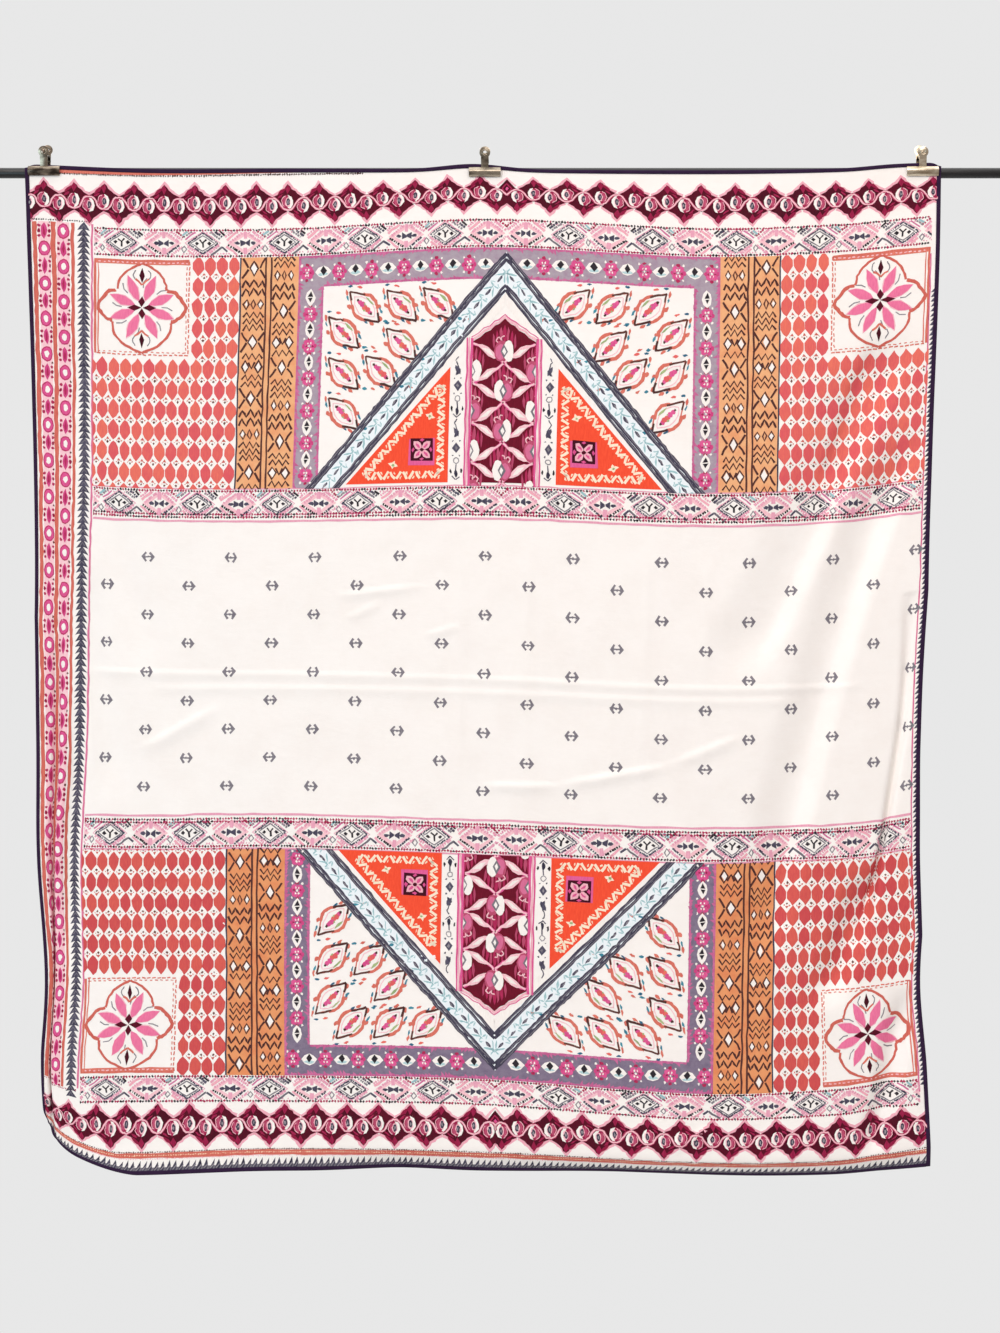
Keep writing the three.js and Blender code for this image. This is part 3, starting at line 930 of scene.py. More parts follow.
class Stitching:
    """Collects flat stitched shapes and lays them on the hung cloth as one piece."""

    def __init__(self, name: str, grid: ClothGrid) -> None:
        """Start an empty piece.

        Args:
            name: The piece's name.
            grid: The hung cloth.
        """
        self.name = name
        self.grid = grid
        self.random = np.random.default_rng(SEED)
        self.window = FULL
        self._points: list[Flat] = []
        self._faces: list[tuple[range, Thread, float]] = []

    def _cut(self, outline: list[Flat], axis: int) -> list[list[Flat]]:
        """Cut an outline along the grid's lines.

        Args:
            outline: Corners as s, t and height.
            axis: 0 for the lines across, 1 for those down.

        Returns:
            The outlines between the lines.
        """
        lines = self.grid.s_list if axis == 0 else self.grid.t_list
        values = [p[axis] for p in outline]
        first = bisect_right(lines, min(values) + SLIVER)
        last = bisect_left(lines, max(values) - SLIVER)
        found = []
        for at in lines[first:last]:
            below, outline = split(outline, axis, at)
            found.append(below)
        found.append(outline)
        return [part for part in found if len(part) > 2]

    def _lay(self, outline: list[Flat], thread: Thread, tint: float) -> None:
        """Add a convex outline, cut to the window and to the grid's cells.

        Args:
            outline: Corners as s, t and height.
            thread: Its thread.
            tint: Its share of the thread's darker shade.
        """
        for axis, limits in enumerate(self.window):
            for keep, limit in zip((1, 0), limits):
                outline = split(outline, axis, limit)[keep]
                if len(outline) < 3:
                    return
        turned = sum(a[0] * b[1] - b[0] * a[1] for a, b in zip(outline, outline[1:] + outline[:1]))
        if turned > 0:
            outline = outline[::-1]
        for part in self._cut(outline, 0):
            for cell in self._cut(part, 1):
                start = len(self._points)
                self._points.extend(cell)
                self._faces.append((range(start, start + len(cell)), thread, tint))

    def _share(self, tint: float | None) -> float:
        """A given share of the darker shade, or an uneven one."""
        return self.random.random() * UNEVEN if tint is None else tint

    def uneven(self, points: list[Point]) -> list[Point]:
        """Points moved a little, as by hand."""
        moves = self.random.normal(0, WOBBLE, (len(points), 2)).tolist()
        return [(p[0] + move[0], p[1] + move[1]) for p, move in zip(points, moves)]

    def fill(self, points: list[Point], thread: Thread, layer: float = 1, crown: float = 0,
             tint: float | None = None) -> None:
        """A filled outline: flat if it is convex and has no crown, otherwise padded.

        Args:
            points: Its outline.
            thread: Its thread.
            layer: How many layers of thread its rim stands over the cloth.
            crown: How many layers its middle stands over the rim.
            tint: Its share of the darker shade, or None for an uneven one.
        """
        share = self._share(tint)
        outline = self.uneven(points)
        at = np.array(outline)
        edge = np.roll(at, -1, axis=0) - at
        bends = edge[:, 0] * np.roll(edge[:, 1], -1) - edge[:, 1] * np.roll(edge[:, 0], -1)
        if crown == 0 and (bends.min() >= 0 or bends.max() <= 0):
            self._lay([(u, v, layer * LAYER) for u, v in outline], thread, share)
        else:
            self.dome(outline, thread, layer, crown, share)

    def dome(self, points: list[Point], thread: Thread, layer: float = 1, crown: float = 2,
             tint: float | None = None, middle: Point | None = None) -> None:
        """A padded patch of thread that rises from its rim to its middle.

        Args:
            points: Its outline, star-shaped about the middle.
            thread: Its thread.
            layer: The rim's height in layers.
            crown: How many layers the middle stands over the rim.
            tint: Its share of the darker shade, or None for an uneven one.
            middle: Where it is highest, or None for the mean of the outline.
        """
        share = self._share(tint)
        top = middle or tuple(np.mean(points, axis=0).tolist())
        rim = layer * LAYER
        for a, b in zip(points, points[1:] + points[:1]):
            self._lay([(*top, rim + crown * LAYER), (*a, rim), (*b, rim)], thread, share)

    def line(self, path: list[Point], width: float, thread: Thread, layer: float = 1,
             closed: bool = False, tint: float | None = None) -> None:
        """A line of stitches.

        Args:
            path: Its points.
            width: Its width.
            thread: Its thread.
            layer: How many layers of thread it stands over the cloth.
            closed: Whether it comes back to its start.
            tint: Its share of the darker shade, or None for an uneven one.
        """
        share = self._share(tint)
        ends = path + path[:1] if closed else path
        fine = [path[0]]
        for a, b in zip(ends, ends[1:]):
            length = math.hypot(b[0] - a[0], b[1] - a[1])
            cuts = max(1, round(length / (SHORT_CUT if length < LONG_LINE else LONG_CUT)))
            fine += [tuple(p + (q - p) * k / cuts for p, q in zip(a, b)) for k in range(1, cuts + 1)]
        if closed:
            fine.pop()
        at = np.array(self.uneven(fine))
        wide = width * self.random.uniform(*UNEVEN_WIDTH, (len(at), 1))
        out = sideways(at, closed) * wide / 2
        left = (at + out).tolist()
        right = (at - out).tolist()
        for k in range(len(at) if closed else len(at) - 1):
            n = (k + 1) % len(at)
            self._lay([(*c, layer * LAYER) for c in (left[k], left[n], right[n], right[k])], thread, share)

    def dashes(self, path: list[Point], width: float, dash: float, gap: float, thread: Thread,
               layer: float = 1) -> None:
        """A dashed line of stitches.

        Args:
            path: Its points.
            width: Its width.
            dash: Length of a stitch.
            gap: Length between two stitches.
            thread: Its thread.
            layer: How many layers of thread it stands over the cloth.
        """
        for a, b in zip(path, path[1:]):
            length = math.hypot(b[0] - a[0], b[1] - a[1])
            count = max(1, round(length / (dash + gap)))
            for k in range(count):
                f0 = k / count
                f1 = f0 + dash / (dash + gap) / count
                ends = [tuple(p + (q - p) * f for p, q in zip(a, b)) for f in (f0, f1)]
                self.line(ends, width, thread, layer)

    def build(self) -> Piece:
        """Lay everything on the cloth.

        Returns:
            The piece.
        """
        rough = np.round(np.array(self._points), 2)
        flat, number = np.unique(rough, axis=0, return_inverse=True)
        number = number.ravel().tolist()
        used = sorted({thread for _, thread, _ in self._faces}, key=lambda thread: thread.name)
        faces, slots, tints = [], [], []
        for corners, thread, tint in self._faces:
            face = list(dict.fromkeys(number[k] for k in corners))
            if len(face) > 2:
                faces.append(face)
                slots.append(used.index(thread))
                tints.append(tint)
        threads = [thread.material() for thread in used]
        piece = new_piece(self.name, self.grid.lift(flat), faces, threads)
        shade = piece.data.attributes.new(TINT, "FLOAT", "FACE")
        shade.data.foreach_set("value", np.array(tints, np.float32))
        set_flat_map(piece.data, flat, slots)
        return piece


# The cloth itself


class Ground(Enum):
    """The printed grounds of the sheet; the orange and mauve also have darker copies for the lower panel,
    which are painted shade.
    """

    WHITE = CottonFinish("cotton_white", (254, 250, 246), (243, 234, 227), 0.2, 9)
    ORANGE = CottonFinish("cotton_orange", (243, 186, 136), (233, 150, 104), 0.55, 26)
    MAUVE = CottonFinish("cotton_mauve", (176, 165, 175), (160, 134, 156), 0.6, 60)
    # Darker copies of the orange and mauve for the lower panel: painted shade of the lower part of the cloth.
    ORANGE_DEEP = CottonFinish("cotton_orange_deep", (235, 162, 110), (225, 126, 84), 0.55, 26)
    MAUVE_DEEP = CottonFinish("cotton_mauve_deep", (138, 126, 146), (112, 98, 124), 0.6, 60)
    BACK = CottonFinish("cotton_back", (238, 231, 222), (224, 214, 203), 0.3, 12)


@dataclass
class QuiltSheet:
    """The quilted sheet: a printed face, a plain back and a closed rim."""

    grid: ClothGrid
    back_step: int = 2

    def ground_of(self, s: Array, t: Array) -> Array:
        """Which printed ground each cell of the face has.

        Args:
            s: Places across.
            t: Places down.

        Returns:
            The place of each cell's ground in Ground.
        """
        off = np.abs(s - CENTRE)
        upper = (t > UPPER_PANEL[0]) & (t < UPPER_PANEL[1])
        lower = (t > LOWER_PANEL[1]) & (t < LOWER_PANEL[0])
        panel = upper | lower
        stripes = panel & (off > FRAME_HALF) & (off < STRIPES_HALF)
        outer = (t < UPPER_PANEL[0] + FRAME_DEPTH) | (t > LOWER_PANEL[0] - FRAME_DEPTH)
        side = (off > FIELD_HALF) & (off < FRAME_HALF)
        edging = panel & (off < FRAME_HALF) & (side | outer)
        grounds = list(Ground)
        # The lower panel takes the darker copies of the orange and mauve: painted shade.
        orange = np.where(upper, grounds.index(Ground.ORANGE), grounds.index(Ground.ORANGE_DEEP))
        mauve = np.where(upper, grounds.index(Ground.MAUVE), grounds.index(Ground.MAUVE_DEEP))
        return np.where(stripes, orange, np.where(edging, mauve, grounds.index(Ground.WHITE)))

    def build(self) -> Piece:
        """Build and dress the sheet.

        Returns:
            The piece.
        """
        grid = self.grid
        step = slice(None, None, self.back_step)
        s, t = np.meshgrid(grid.s, grid.t)
        flat = np.stack([s, t], axis=-1)
        back = grid.back[step, step]
        number = np.arange(s.size).reshape(s.shape)
        corner = s.size + np.arange(back.size // 3).reshape(back.shape[:2])
        behind = self._quads(corner.T)
        rim = self._rim(number, corner)
        across = (grid.s[:-1] + grid.s[1:]) / 2
        down = (grid.t[:-1] + grid.t[1:]) / 2
        slots = self.ground_of(*np.meshgrid(across, down)).ravel().tolist()
        slots += [list(Ground).index(Ground.BACK)] * len(behind) + [0] * len(rim)
        points = np.vstack([grid.front.reshape(-1, 3), back.reshape(-1, 3)])
        faces = self._quads(number) + behind + rim
        cottons = [ground.value.make() for ground in Ground]
        piece = new_piece("quilt_sheet", points, faces, cottons, "quilt")
        set_flat_map(piece.data, np.vstack([flat.reshape(-1, 2), flat[step, step].reshape(-1, 2)]), slots)
        return piece

    def _quads(self, number: Array) -> list[list[int]]:
        """Faces of a grid of point numbers."""
        corners = (number[:-1, :-1], number[1:, :-1], number[1:, 1:], number[:-1, 1:])
        return np.stack(corners, axis=-1).reshape(-1, 4).tolist()

    def _rim(self, number: Array, corner: Array) -> list[list[int]]:
        """Faces that join the face to the back round the four edges.

        Args:
            number: Point numbers of the face.
            corner: Point numbers of the back.

        Returns:
            The triangles.
        """
        found = []
        for _ in range(4):
            edge, behind = number[0].tolist(), corner[0].tolist()
            for a, b, c, d, e in zip(edge[::2], edge[1::2], edge[2::2], behind, behind[1:]):
                found += [[a, b, d], [b, e, d], [b, c, e]]
            number, corner = np.rot90(number), np.rot90(corner)
        return found


@dataclass
class BoundEdge:
    """The folded dark binding on one edge of the sheet."""

    grid: ClothGrid
    side: str
    cloth: float = 1
    proud: float = 0.5
    fold: float = 0.35
    steps: tuple = (1, 0.72, 0.4, 0.12)
    bends: tuple = (60, 20, -20, -60)

    def stations(self) -> tuple[Array, Array]:
        """Flat places of the edge and the direction inward from it.

        Returns:
            Rows of s and t on the edge, and the inward direction.
        """
        level = self.side in ("top", "bottom")
        far = self.side in ("bottom", "right")
        s = self.grid.s
        along = s[(s >= BINDING_DEPTH) & (s <= WIDTH - BINDING_DEPTH)] if level else self.grid.t
        edge = np.full((len(along), 2), (WIDTH * far, LENGTH * far), float)
        edge[:, 0 if level else 1] = along
        return edge, np.array((0, 1) if level else (1, 0)) * (-1 if far else 1)

    def build(self, material: Material) -> Piece:
        """Build and dress the binding.

        Args:
            material: Its cotton.

        Returns:
            The piece.
        """
        edge, inward = self.stations()
        shape = self.grid.shape
        half = shape.thickness / 2
        over = self.proud + self.cloth
        outward = unit(shape.place(*edge.T) - shape.place(*(edge + inward * NORMAL_STEP).T))
        leg = [(share * BINDING_DEPTH, half + over - self.fold * (share == 1), 0) for share in self.steps]
        bend = [math.radians(angle) for angle in self.bends]
        rings = [*leg, *[(0, (half + over) * math.sin(a), over * math.cos(a)) for a in bend]]
        rings += [(depth, -rise, 0) for depth, rise, _ in reversed(leg)]
        rings += [(BINDING_DEPTH * 0.98, way * half / 2, 0) for way in BOTH]
        points, flats = [], []
        for depth, rise, past in rings:
            flat = edge + inward * depth
            points.append((shape.place(*flat.T) + shape.normal(*flat.T) * rise + outward * past) * MM)
            flats.append(flat + inward * (rise - past))
        cloud = np.stack(points, axis=1).reshape(-1, 3)
        faces = tube(len(edge), len(rings))
        name = f"bound_edge_{self.side}"
        piece = new_piece(name, cloud, faces, [material], f"binding_{self.side}")
        tidy_normals(piece.data)
        set_flat_map(piece.data, np.stack(flats, axis=1).reshape(-1, 2))
        return piece


# Rod and clips


@dataclass
class HangingRod:
    """The round black rod, with softly rounded ends."""

    radius: float = 12.5
    length: float = 2500
    centre: float = 40
    sides: int = 64
    rounding: float = 1.2

    def build(self, material: Material) -> Piece:
        """Build and dress the rod.

        Args:
            material: Its paint.

        Returns:
            The piece.
        """
        half = self.length / 2
        soft = self.rounding
        end = [(x * soft - half, self.radius - y * soft) for x, y in ((0, 1), (0.35, 0.35), (1, 0))]
        along = [(self.length * k / 12 - half, self.radius) for k in range(1, 12)]
        profile = [*end, *along, *[(-x, y) for x, y in reversed(end)]]
        ring = [(math.cos(a), math.sin(a)) for a in turns(self.sides)]
        points = np.array([(x + self.centre, r * c, r * s) for x, r in profile for c, s in ring]) * MM
        faces = tube(len(profile), self.sides)
        piece = new_piece("hanging_rod", points, faces, [material], "rod")
        tidy_normals(piece.data)
        return piece


def wall(work: BMesh, near: list, far: list) -> None:
    """Join two loops of as many corners by a band of faces."""
    for corners in zip(near, near[1:] + near[:1], far[1:] + far[:1], far):
        work.faces.new(corners)


@dataclass(frozen=True)
class Lever:
    """One lever of a clip: its side along Y, its jaw's distance from the rod's axis and its ring's height."""

    part: str
    side: float
    tip: float
    ring: float


@dataclass
class SpringClip:
    """A sprung clip: two bent levers with ringed handles and an arched leaf between them."""

    name: str
    x: float
    lift: float
    front: Lever = Lever("front", -1, 20.2, 44)
    back: Lever = Lever("back", 1, 13.6, 57)
    sheet: float = 1.2
    jaw_width: float = 76
    neck_width: float = 23
    waist_width: float = 18
    waist_height: float = 11
    ring_radius: float = 13
    hole_radius: float = 4.5
    rim_radius: float = 6.6
    rim_thick: float = 1.5
    lean: float = math.radians(7.6)
    neck_foot: float = 7
    spring_width: float = 19
    spring_foot: float = 27
    spring_rise: float = 0.6
    gap: float = 0.5
    bevel: float = 0.22
    jaw: tuple = ((0, -13), (3.6, -9.5), (5.6, -4), (5.6, 2.5), (0.6, 9.5))

    def build(self, material: Material) -> list[Piece]:
        """Build and dress the clip's three pieces.

        Args:
            material: Its steel.

        Returns:
            The front lever, the back lever and the leaf.
        """
        pieces = []
        for lever in (self.front, self.back):
            work = bmesh.new()
            section = rounded([(lever.tip + out, z) for out, z in self.jaw], 5)
            self._strip(work, section, self.jaw_width, lever.side)
            self._handle(work, lever)
            sharp = [e for e in work.edges if len(e.link_faces) == 2 and e.calc_face_angle(0) > 0.9]
            bmesh.ops.bevel(work, geom=sharp, offset=self.bevel, segments=2, affect="EDGES", profile=0.6)
            pieces.append(self._finish(work, lever.part, material))
        work = bmesh.new()
        self._strip(work, self._arch(), self.spring_width, 1)
        return [*pieces, self._finish(work, "spring", material)]

    def _finish(self, work: BMesh, part: str, material: Material) -> Piece:
        """Turn a bmesh in millimetres about the clip into a piece.

        Args:
            work: The bmesh, which is freed.
            part: The part of the clip that it stands for.
            material: Its steel.

        Returns:
            The piece.
        """
        bmesh.ops.recalc_face_normals(work, faces=work.faces)
        points = (np.array([v.co for v in work.verts], float) + (self.x, 0, self.lift)) * MM
        work.verts.index_update()
        faces = [[v.index for v in face.verts] for face in work.faces]
        work.free()
        node = f"clip_{self.name}_{part}"
        piece = new_piece(f"steel_{node}", points, faces, [material], node)
        piece.data.set_sharp_from_angle(angle=math.radians(40))
        return piece

    def _strip(self, work: BMesh, line: list[Point], width: float, side: float) -> None:
        """Add a bent strip of sheet metal.

        Args:
            work: Where it goes.
            line: Its middle line as distance from the rod and height.
            width: Its width along the rod.
            side: Which way the distance counts along Y.
        """
        at = np.array(line, float)
        out = sideways(at) * self.sheet / 2
        outline = np.vstack([at + out, (at - out)[::-1]]).tolist()
        ends = [[work.verts.new((way * width / 2, side * y, z)) for y, z in outline] for way in BOTH]
        wall(work, *ends)
        for end in ends:
            for k in range(len(line) - 1):
                work.faces.new((end[k], end[k + 1], end[-2 - k], end[-1 - k]))

    def _handle(self, work: BMesh, lever: Lever) -> None:
        """Add the flat neck, its ring and the rolled rim of the hole, leaning out from the foot.

        Args:
            work: Where they go.
            lever: Which lever it is.
        """
        up, out = math.cos(self.lean), math.sin(self.lean)
        reach = (lever.ring - self.neck_foot) / up
        half = self.neck_width / 2
        waist = self.waist_width / 2
        shoulder = math.asin(waist / self.ring_radius)
        count = 40

        def circle(radius: float, angles: list[float]) -> list[Point]:
            """Points of a circle about the ring's middle."""
            return [(radius * math.cos(a), reach + radius * math.sin(a)) for a in angles]

        def corner(p: Point, off: float) -> bmesh.types.BMVert:
            """A corner of the leaning handle at an offset through its thickness."""
            y = lever.side * (lever.tip + self.jaw[-1][0] + p[1] * out + off * up)
            return work.verts.new((p[0], y, self.neck_foot + p[1] * up - off * out))

        flare = rounded([(half, 0), (waist, 0.35 * self.waist_height), (waist, self.waist_height)], 4)
        sweep = [shoulder - math.pi / 2 + 2 * (math.pi - shoulder) * k / count for k in range(count + 1)]
        outer = [(-half, 0), *flare, *circle(self.ring_radius, sweep)]
        outer += [(-u, v) for u, v in reversed(flare[1:])]
        inner = circle(self.hole_radius, [a - math.pi / 2 for a in turns(count)])
        thick = self.sheet / 2
        sides = [[[corner(p, off) for p in loop] for loop in (outer, inner)] for off in (thick, -thick)]
        for near, far in zip(*sides):
            wall(work, near, far)
        for loops in sides:
            edges = [work.edges.get(pair) for loop in loops for pair in zip(loop, loop[1:] + loop[:1])]
            bmesh.ops.triangle_fill(work, edges=edges, use_beauty=True, use_dissolve=False)
        r = self.rim_thick
        roll = [(self.rim_radius + r * math.cos(b), r * math.sin(b)) for b in turns(10)]
        rings = [[corner(*circle(wide, [a]), off) for wide, off in roll] for a in turns(36)]
        for near, far in zip(rings, rings[1:] + rings[:1]):
            wall(work, near, far)

    def _arch(self) -> list[Point]:
        """Middle line of the leaf that presses the levers apart.

        Returns:
            Its points as distance from the rod and height.
        """
        climb = (self.spring_foot - self.neck_foot) * math.tan(self.lean)
        out = self.jaw[-1][0] + climb - self.sheet - self.gap
        front, back = (lever.side * (lever.tip + out) for lever in (self.front, self.back))
        middle, radius = (front + back) / 2, (back - front) / 2
        angles = [math.pi - math.pi * k / 24 for k in range(25)]
        rise = self.spring_rise * radius
        return [(middle + radius * math.cos(a), self.spring_foot + rise * math.sin(a)) for a in angles]


# Patterns of the face


class Copies(Enum):
    """How a mark is repeated about the middle of its motif."""

    ONE = ((1, 1),)
    SIDES = ((1, 1), (-1, 1))
    ENDS = ((1, 1), (1, -1))
    FOUR = ((1, 1), (-1, 1), (1, -1), (-1, -1))


ONE, SIDES, ENDS, FOUR = Copies


@dataclass(frozen=True)
class Mark:
    """One shape of a motif: a filled outline or, where it has a width, a whole or dashed line."""

    points: list
    thread: Thread
    layer: float = 1
    width: float = 0
    tint: float | None = None
    copies: Copies = ONE
    crown: float = 0
    closed: bool = False
    dash: float = 0
    gap: float = 0

    def stitch(self, work: Stitching, base: Place) -> None:
        """Stitch the mark and its copies.

        Args:
            work: Where it goes.
            base: The motif's place.
        """
        for across, down in self.copies.value:
            points = base([(u * across, v * down) for u, v in self.points])
            if self.dash:
                work.dashes(points, self.width, self.dash, self.gap, self.thread, self.layer)
            elif self.width:
                work.line(points, self.width, self.thread, self.layer, self.closed, self.tint)
            else:
                work.fill(points, self.thread, self.layer, self.crown, self.tint)


def draw(work: Stitching, base: Place, marks: tuple) -> None:
    """Stitch all marks of a motif at a place."""
    for mark in marks:
        mark.stitch(work, base)


def flanked(tip: Point, flank: tuple, foot: Point) -> list[Point]:
    """Closed outline from a tip down one flank to a foot and up the mirrored flank."""
    return [tip, *flank, foot, *[(-u, v) for u, v in reversed(flank)]]


def arched(tip: Point, flank: tuple) -> list[Point]:
    """Open line up the mirrored flank to a tip and down the flank."""
    return [*[(-u, v) for u, v in reversed(flank)], tip, *flank]


@dataclass
class ZigzagBorder:
    """A row of pointed lobes above and below a winding line, mirrored at the middle."""

    middle: float
    first_up: float = 64
    first_down: float = 26
    pitch: float = 76
    bulge: float = 17
    count: int = 16
    wave: float = 15
    dip: float = 0
    lag: float = 0
    flank: tuple = ((6, -44), (10, -37), (18, -32), (23, -26), (36, -19))
    lobe: tuple = (
        Mark(arched((0, -53), flank), PALE_PINK, 0.6, 11, 0.8),
        Mark(arched((0, -51), flank), PALE_PINK, 0.8, 6, 1),
        Mark(flanked((0, -50), (*flank, (27, -9), (17, 6), (8, 14)), (0, 16)), MAROON, 1, crown=1),
        Mark(kite((0, -50), (1, -25), 14, 0.45), CRIMSON, 2.1, tint=0.8),
        Mark(leaf((4, -42), (25, -23), 8), CRIMSON, 2.3, tint=1),
        Mark(leaf((11, -26), (26, -14), 5), CRIMSON, 2.3, tint=0.6),
        Mark(oval(3, -5, 12.5, 18), CRIMSON, 3, tint=0.4),
        Mark(leaf((7, -21), (8, 10), 9), DUSTY, 3.4, tint=0.6),
        Mark(rounded([(5, -21), (13, -15), (15, -5), (11, 6)], 3), PALE_PINK, 3.7, 1.8, 0.6),
        Mark([(0, -23), (-8, -19), (-13, -8), (-12, 3), (-5, 13), (2, 14), (-4, 4), (-5, -7), (-3, -17)],
             WHITE, 3.9, tint=0),
        Mark(oval(-0.5, -5, 6.4, 12), PALE_PINK, 4.2, tint=0.4),
        Mark(oval(-0.5, -5, 4.5, 9.4), SLATE, 4.6, tint=0.7),
        Mark(oval(-0.5, -5, 2, 4.6, 8), GREY, 5.2, tint=0),
    )
    key: tuple = (
        Mark(diamond(0, -17, 22, 28), MAROON, 1, crown=1),
        Mark(arched((0, -50), ((10, -39), (22, -26))), PALE_PINK, 0.7, 5, 0.5),
        Mark(diamond(0, -17, 11, 16), CRIMSON, 4, 3.4, closed=True),
        Mark(diamond(0, -17, 4, 6), ROSE, 4),
    )

    def spots(self, first: float, side: float) -> list[float]:
        """Distances of a row's lobes from the middle line, on the left half for a side of -1."""
        even = [first + self.pitch * k for k in range(self.count)]
        return [u + self.bulge * math.sin(math.pi * (u - self.first_up) / self.pitch / 14)
                + self.lag * max(u - 400, 0) * (side > 0) for u in even]

    def fall(self, u: float) -> float:
        """How far the border has come down at a distance from the middle line."""
        return self.dip * float(smooth_step((u - 120) / 240))

    def stitch(self, work: Stitching) -> None:
        """Stitch the border.

        Args:
            work: Where it goes.
        """
        for side in BOTH:
            knots = [(0, 3)]
            for low, high in zip(self.spots(self.first_down, side), self.spots(self.first_up, side)):
                for u, way in ((low, -1), (high, 1)):
                    level = self.fall(u)
                    draw(work, Place(CENTRE + side * u, self.middle + level, side, way), self.lobe)
                    knots += [(u + off, level + way * self.wave * rise)
                              for off, rise in ((-12, 0.72), (0, 1), (12, 0.72))]
            path = Place(CENTRE, self.middle, side)(rounded(knots, 3))
            work.line(path, 6.4, CRIMSON, 5.6, tint=0.3)
            work.line(path, 3.8, PALE_PINK, 6.2, tint=0.5)
        draw(work, Place(CENTRE, self.middle), self.key)


@dataclass
class LaceBand:
    """A woven-looking band of dark and pink diamonds with dotted edges."""

    top: float
    bottom: float
    dots: tuple
    lines: tuple = ()
    unit: float = 198
    first_pink: float = 46
    first_dark: float = 149
    dot_pitch: float = 6.9
    crimson_share: float = 0.62
    dark: tuple = (
        Mark(diamond(0, 0, 43, 30), PETAL, 0.6, 2.6, 0, closed=True),
        Mark([(-37, 0), (0, -26), (37, 0), (0, 26), (-37, 0)], SLATE, 1.2, 4, dash=4, gap=0.9),
        Mark(diamond(0, 0, 28.5, 19.5), GREY, 1.2, 2.8, 0.6, closed=True),
        Mark(diamond(15, 0, 5.4, 4.8), BLACK, 1.4, copies=SIDES),
        Mark([(-8, -9), (0, -1), (8, -9)], BLACK, 1.5, 4),
        Mark([(0, -2), (-1, 10)], BLACK, 1.5, 4.4),
        Mark([(-18, -28), (-42, -10)], GREY, 1.2, 5, dash=4.4, gap=1.4),
        Mark([(-29, -29), (-48, -14)], SLATE, 1.2, 5.6, dash=5, gap=1.4),
        Mark([(-40, -29), (-52, -19)], BLACK, 1.2, 4.6, 0.2),
        Mark([(18, -28), (42, -10)], MALLOW, 1.2, 3.4, 0.2),
        Mark([(28, -29), (48, -14)], GREY, 1.2, 4.4, dash=4, gap=1.6),
        Mark([(38, -29), (51, -19)], PALE_TEAL, 1.2, 4.6, 1),
        Mark([(-10, 29), (-40, 4)], PETAL, 1.1, 6.4, dash=5, gap=1.6),
        Mark([(-20, 30), (-47, 9)], GREY, 1.2, 4.6, 1),
        Mark([(-47, 9), (-60, 20)], SLATE, 1.2, 4.6, 0.2),
        Mark([(10, 29), (38, 6)], PETAL, 1.1, 6, dash=4.4, gap=1.8),
        Mark([(20, 30), (36, 17)], PALE_PINK, 1.1, 5, 1),
        Mark(diamond(46, 15, 6, 8), GREY, 1.2, 3.2, 0.4, closed=True),
    )
    pink: tuple = (
        Mark(diamond(0, 0, 43, 29), PALE_PINK, 0.5, tint=0.2),
        Mark(diamond(0, 0, 28, 19), WHITE, 0.8, tint=0),
        Mark([(37, -2), (6, -26)], PETAL, 1.2, 6, dash=5, gap=1.8),
        Mark([(-6, -26), (-37, -2)], PETAL, 1.2, 6, dash=5, gap=1.6),
        Mark([(-17, -29), (-45, -7)], PETAL, 1.1, 6.4, dash=4.6, gap=1.4),
        Mark([(-30, -29), (-50, -13)], CRIMSON, 1.1, 5, dash=4, gap=2),
        Mark([(18, -29), (45, -8)], PALE_PINK, 1, 6, 1),
        Mark([(30, -29), (49, -14)], PETAL, 1, 5, dash=4.4, gap=2),
        Mark([(42, 4), (6, 27)], BLACK, 1.3, 5.4, dash=4, gap=2.2),
        Mark([(47, 7), (20, 29)], PALE_PINK, 1, 5, 1),
        Mark([(-8, 28), (-37, 4)], SLATE, 1.3, 4.8, dash=5, gap=1.6),
        Mark([(-19, 30), (-47, 7)], PETAL, 1.1, 6, dash=4.6, gap=1.6),
        Mark([(0, 11), (0, 28)], PETAL, 1.4, 9, 0.2, ENDS),
        Mark([(12, -9), (0.5, -2.5), (0.5, 2.5), (12, 9)], SLATE, 1.5, tint=0.4, copies=SIDES),
        Mark(leaf((12, 0), (26, 0), 8.6), SLATE, 1.5, copies=SIDES),
    )

    def stitch(self, work: Stitching) -> None:
        """Stitch the band.

        Args:
            work: Where it goes.
        """
        inner = [t for t in self.dots if self.top <= t <= self.bottom]
        middle = (min(inner) + max(inner)) / 2
        room = (max(inner) - min(inner)) / 64
        work.window = ((PANEL_LEFT + 3, PANEL_RIGHT), (min(inner) + 1, max(inner) - 1))
        for side in BOTH:
            for k in range(6):
                for first, marks in ((self.first_pink, self.pink), (self.first_dark, self.dark)):
                    draw(work, Place(CENTRE + side * (first + self.unit * k), middle, side, room), marks)
        work.window = ((PANEL_LEFT + 3, PANEL_RIGHT), (self.top - 4, self.bottom + 4))
        for t in self.dots:
            self._dotted(work, t)
        for t, width in self.lines:
            work.line([(PANEL_LEFT, t), (PANEL_RIGHT, t)], width, PETAL, 1, tint=0.3)
        work.window = FULL

    def _dotted(self, work: Stitching, t: float) -> None:
        """A row of square dots, with looser pink ones on its inner side.

        Args:
            work: Where it goes.
            t: The row's level.
        """
        inward = 1 if t < (self.top + self.bottom) / 2 else -1
        for k in range(int((PANEL_RIGHT - PANEL_LEFT) / self.dot_pitch)):
            s = PANEL_LEFT + 4 + self.dot_pitch * k
            thread = CRIMSON if work.random.random() < self.crimson_share else BLACK
            work.fill(diamond(s, t, 3.3, 3.4), thread, 1.3)
            if work.random.random() < 0.5:
                work.fill(diamond(s + 3, t + 6.5 * inward, 2.4, 2.6), PETAL, 1)


